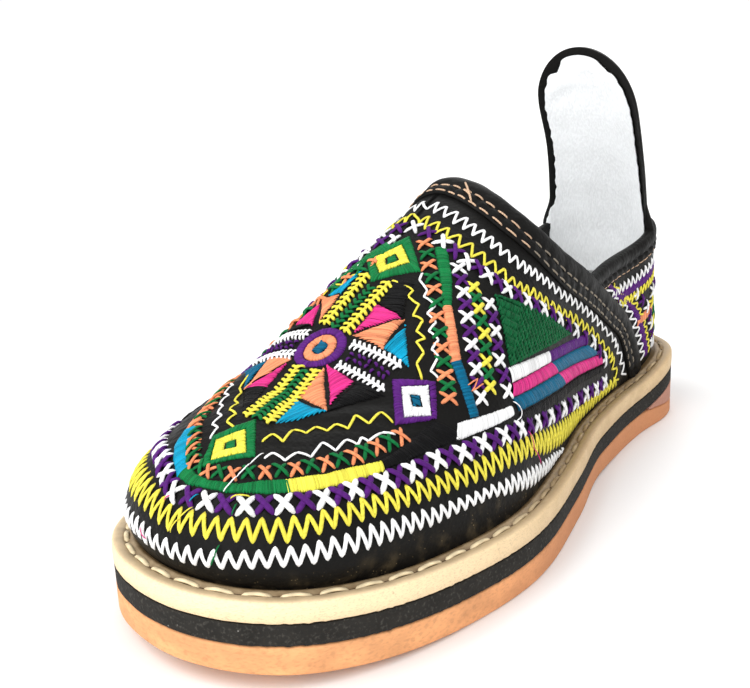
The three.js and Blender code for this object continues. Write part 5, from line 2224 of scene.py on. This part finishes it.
class SHOE_OT_quarter_work(bpy.types.Operator):
    """Sew the quarters"""

    bl_idname = "shoe.quarter_work"
    bl_label = "Sew Quarters"

    def execute(self, context):
        needle = Needle(24)
        topline, quarter, throat = chart("topline"), chart("quarter"), chart("throat")
        start, end = (value / MM for value in chart_ends(topline))
        run = np.arange(0.03, chart_ends(throat)[1], 0.001)
        rim, _ = throat.place(np.column_stack([run, np.zeros(len(run))]))
        rim = quarter.locate(rim) / MM
        rim = rim[np.argsort(rim[:, 1])]
        heights, places = rim[:, 1], rim[:, 0]

        def behind(line, distance):
            """Which spots of the topline chart lie far enough behind the vamp's edge."""
            points, _ = topline.place(line * MM)
            spots = quarter.locate(points) / MM
            return np.abs(spots[:, 0]) > np.interp(spots[:, 1], heights, places) + distance

        for colour, low, high, period in QUARTER_ROWS:
            lines = [((start, end), (value, value)) for value in (low, high, period)]
            needle.zigzag(
                colour, topline, lines[0], lines[1], start + 1, end - 1, lines[2],
                width=0.85, limit=lambda line: behind(line, 3.5),
            )
        for level, first, second in QUARTER_CROSSES:
            at = np.arange(start + 4, end - 3, 9.4)
            row = np.column_stack([at, np.full(len(at), level)])
            row = row[behind(row, 15.5)]
            needle.cross_row(first, second, topline, row, tall=4.2, wide=4.0, width=1.1)
        for side in (1, -1):
            self.front(needle, quarter, heights, places, side)
            for colour, near, far in QUARTER_BARS:
                bar = [((side * near, level), (side * far, level)) for level in (26.6, 30.4)]
                needle.satin(colour, topline, bar[0], bar[1])
        first = places[0] + 14
        last = quarter.along / MM * quarter.grid.shape[1] - first
        for colour, low, high, period in FOOT_ROWS:
            lines = [((first, last), (value, value)) for value in (low, high, period)]
            needle.zigzag(colour, quarter, lines[0], lines[1], first, last, lines[2], width=0.85)
        needle.meshes("quarter")
        return {"FINISHED"}

    @staticmethod
    def front(needle, quarter, heights, places, side):
        """Zigzags and crosses along the vamp's edge, from the welt up."""
        for colour, low, high, period in FRONT_ROWS:
            levels = np.arange(2.0, 39.0, period / 2)
            reach = np.where(np.arange(len(levels)) % 2 == 0, low, high)
            line = np.column_stack([side * (np.interp(levels, heights, places) + reach), levels])
            needle.path(colour, quarter, line, width=0.85)
        for distance, first, second, reach in FRONT_CROSSES:
            levels = np.arange(4.0, reach, 8.6)
            row = np.column_stack([side * (np.interp(levels, heights, places) + distance), levels])
            needle.cross_row(first, second, quarter, row, tall=4.0, wide=3.8, width=1.1)


# Stage


# The photograph's place and angle, turned to the left so that the heel is in the picture
LENS = 52.64
CAMERA_PLACE = (0.1847, -0.2801, 0.1498)
CAMERA_YAW = -37.7
CAMERA_PITCH = 16.35
CAMERA_ROLL = -2.36
# Suns: place, share of the key's power, angle
SUNS = {
    "key": ((-0.5, -0.75, 1.3), 1.0, 40),
    "fill": ((0.9, -0.25, 0.9), 0.5, 60),
    "front": ((0.1, -1.0, 0.45), 0.75, 50),
    "rim": ((-0.3, 0.9, 0.8), 0.5, 50),
}


class SHOE_OT_stage(bpy.types.Operator):
    """Build floor, lights and camera"""

    bl_idname = "shoe.stage"
    bl_label = "Build Stage"

    def execute(self, context):
        settings = context.scene.shoe_stage
        self.floor(settings)
        self.camera()
        self.lights(settings)
        return {"FINISHED"}

    def floor(self, settings):
        """Wide pale floor."""
        half = 30.0
        points = [(-half, -half, 0), (half, -half, 0), (half, half, 0), (-half, half, 0)]
        shader = Shader("studio_floor", roughness=0.7)
        shader.colour(shader.mix(shader.noise(0.4, 2.0), shade(settings.floor, 0.99), settings.floor))
        floor = make_mesh("studio_floor", np.array(points), np.array([[0, 1, 2, 3]]), [shader.material])
        floor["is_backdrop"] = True

    def camera(self):
        """Camera at the photograph's place."""
        data = bpy.data.cameras.new("camera")
        data.sensor_width = 36
        data.lens = LENS
        camera = bpy.data.objects.new("camera", data)
        bpy.context.scene.collection.objects.link(camera)
        yaw, pitch, roll = (math.radians(turn) for turn in (CAMERA_YAW, CAMERA_PITCH, CAMERA_ROLL))
        ahead = Vector((math.sin(yaw), math.cos(yaw), 0))
        forward = ahead * math.cos(pitch) - Vector((0, 0, math.sin(pitch)))
        right = Vector((math.cos(yaw), -math.sin(yaw), 0))
        up = right.cross(forward)
        rolled = right * math.cos(roll) + up * math.sin(roll)
        upright = up * math.cos(roll) - right * math.sin(roll)
        turned = Matrix((rolled, upright, -forward)).transposed().to_4x4()
        camera.matrix_world = Matrix.Translation(CAMERA_PLACE) @ turned
        bpy.context.scene.camera = camera

    def lights(self, settings):
        """Room that is bright near the horizon, and four soft suns."""
        world = bpy.data.worlds.new("studio")
        world.use_nodes = True
        tree = world.node_tree
        background = tree.nodes["Background"]
        place = tree.nodes.new("ShaderNodeTexCoord")
        split = tree.nodes.new("ShaderNodeSeparateXYZ")
        ramp_node = tree.nodes.new("ShaderNodeValToRGB")
        tree.links.new(place.outputs["Generated"], split.inputs[0])
        tree.links.new(split.outputs[2], ramp_node.inputs[0])
        tree.links.new(ramp_node.outputs[0], background.inputs["Color"])
        stops = ramp_node.color_ramp.elements
        stops[0].position, stops[0].color = 0.07, (1.02, 1.02, 1.02, 1.0)
        stops[1].position, stops[1].color = 0.26, (*[settings.sky] * 3, 1.0)
        bpy.context.scene.world = world
        bpy.context.scene.view_settings.view_transform = "Standard"
        for name, (place, share, spread_angle) in SUNS.items():
            data = bpy.data.lights.new(name, "SUN")
            data.energy = share * settings.key
            data.angle = math.radians(spread_angle)
            light = bpy.data.objects.new(name, data)
            light.rotation_euler = (-Vector(place)).to_track_quat("-Z", "Y").to_euler()
            bpy.context.scene.collection.objects.link(light)


class SHOE_PT_panel(bpy.types.Panel):
    """Lists the shoe's sizes, colours and build steps"""

    bl_idname = "SHOE_PT_panel"
    bl_label = "Embroidered Shoe"
    bl_space_type = "VIEW_3D"
    bl_region_type = "UI"
    bl_category = "Shoe"

    def draw(self, context):
        layout = self.layout
        for group in (context.scene.shoe_sizes, context.scene.shoe_colours, context.scene.shoe_stage):
            box = layout.box()
            for name in group.__annotations__:
                box.prop(group, name)
        for operator in STEPS:
            layout.operator(operator.bl_idname)


STEPS = (
    SHOE_OT_stage,
    SHOE_OT_sole,
    SHOE_OT_welt,
    SHOE_OT_vamp,
    SHOE_OT_quarters,
    SHOE_OT_bindings,
    SHOE_OT_tab,
    SHOE_OT_borders,
    SHOE_OT_front,
    SHOE_OT_panels,
    SHOE_OT_quarter_work,
)
GROUPS = (ShoeSizes, ShoeColours, StageSettings)


def register():
    """Registers the classes and hangs the settings on the scene."""
    for cls in (*GROUPS, *STEPS, SHOE_PT_panel):
        bpy.utils.register_class(cls)
    bpy.types.Scene.shoe_sizes = PointerProperty(type=ShoeSizes)
    bpy.types.Scene.shoe_colours = PointerProperty(type=ShoeColours)
    bpy.types.Scene.shoe_stage = PointerProperty(type=StageSettings)


def unregister():
    """Removes the settings and the classes."""
    del bpy.types.Scene.shoe_stage
    del bpy.types.Scene.shoe_colours
    del bpy.types.Scene.shoe_sizes
    for cls in reversed((*GROUPS, *STEPS, SHOE_PT_panel)):
        bpy.utils.unregister_class(cls)


def main():
    """Builds the whole shoe and works out how large it is."""
    register()
    for step in STEPS:
        group, name = step.bl_idname.split(".")
        getattr(getattr(bpy.ops, group), name)()
    boxes = {"cad": CAD_BOX, "visual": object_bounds()}
    plain = {key: [[float(v) for v in corner] for corner in box] for key, box in boxes.items()}


if __name__ == "__main__":
    main()
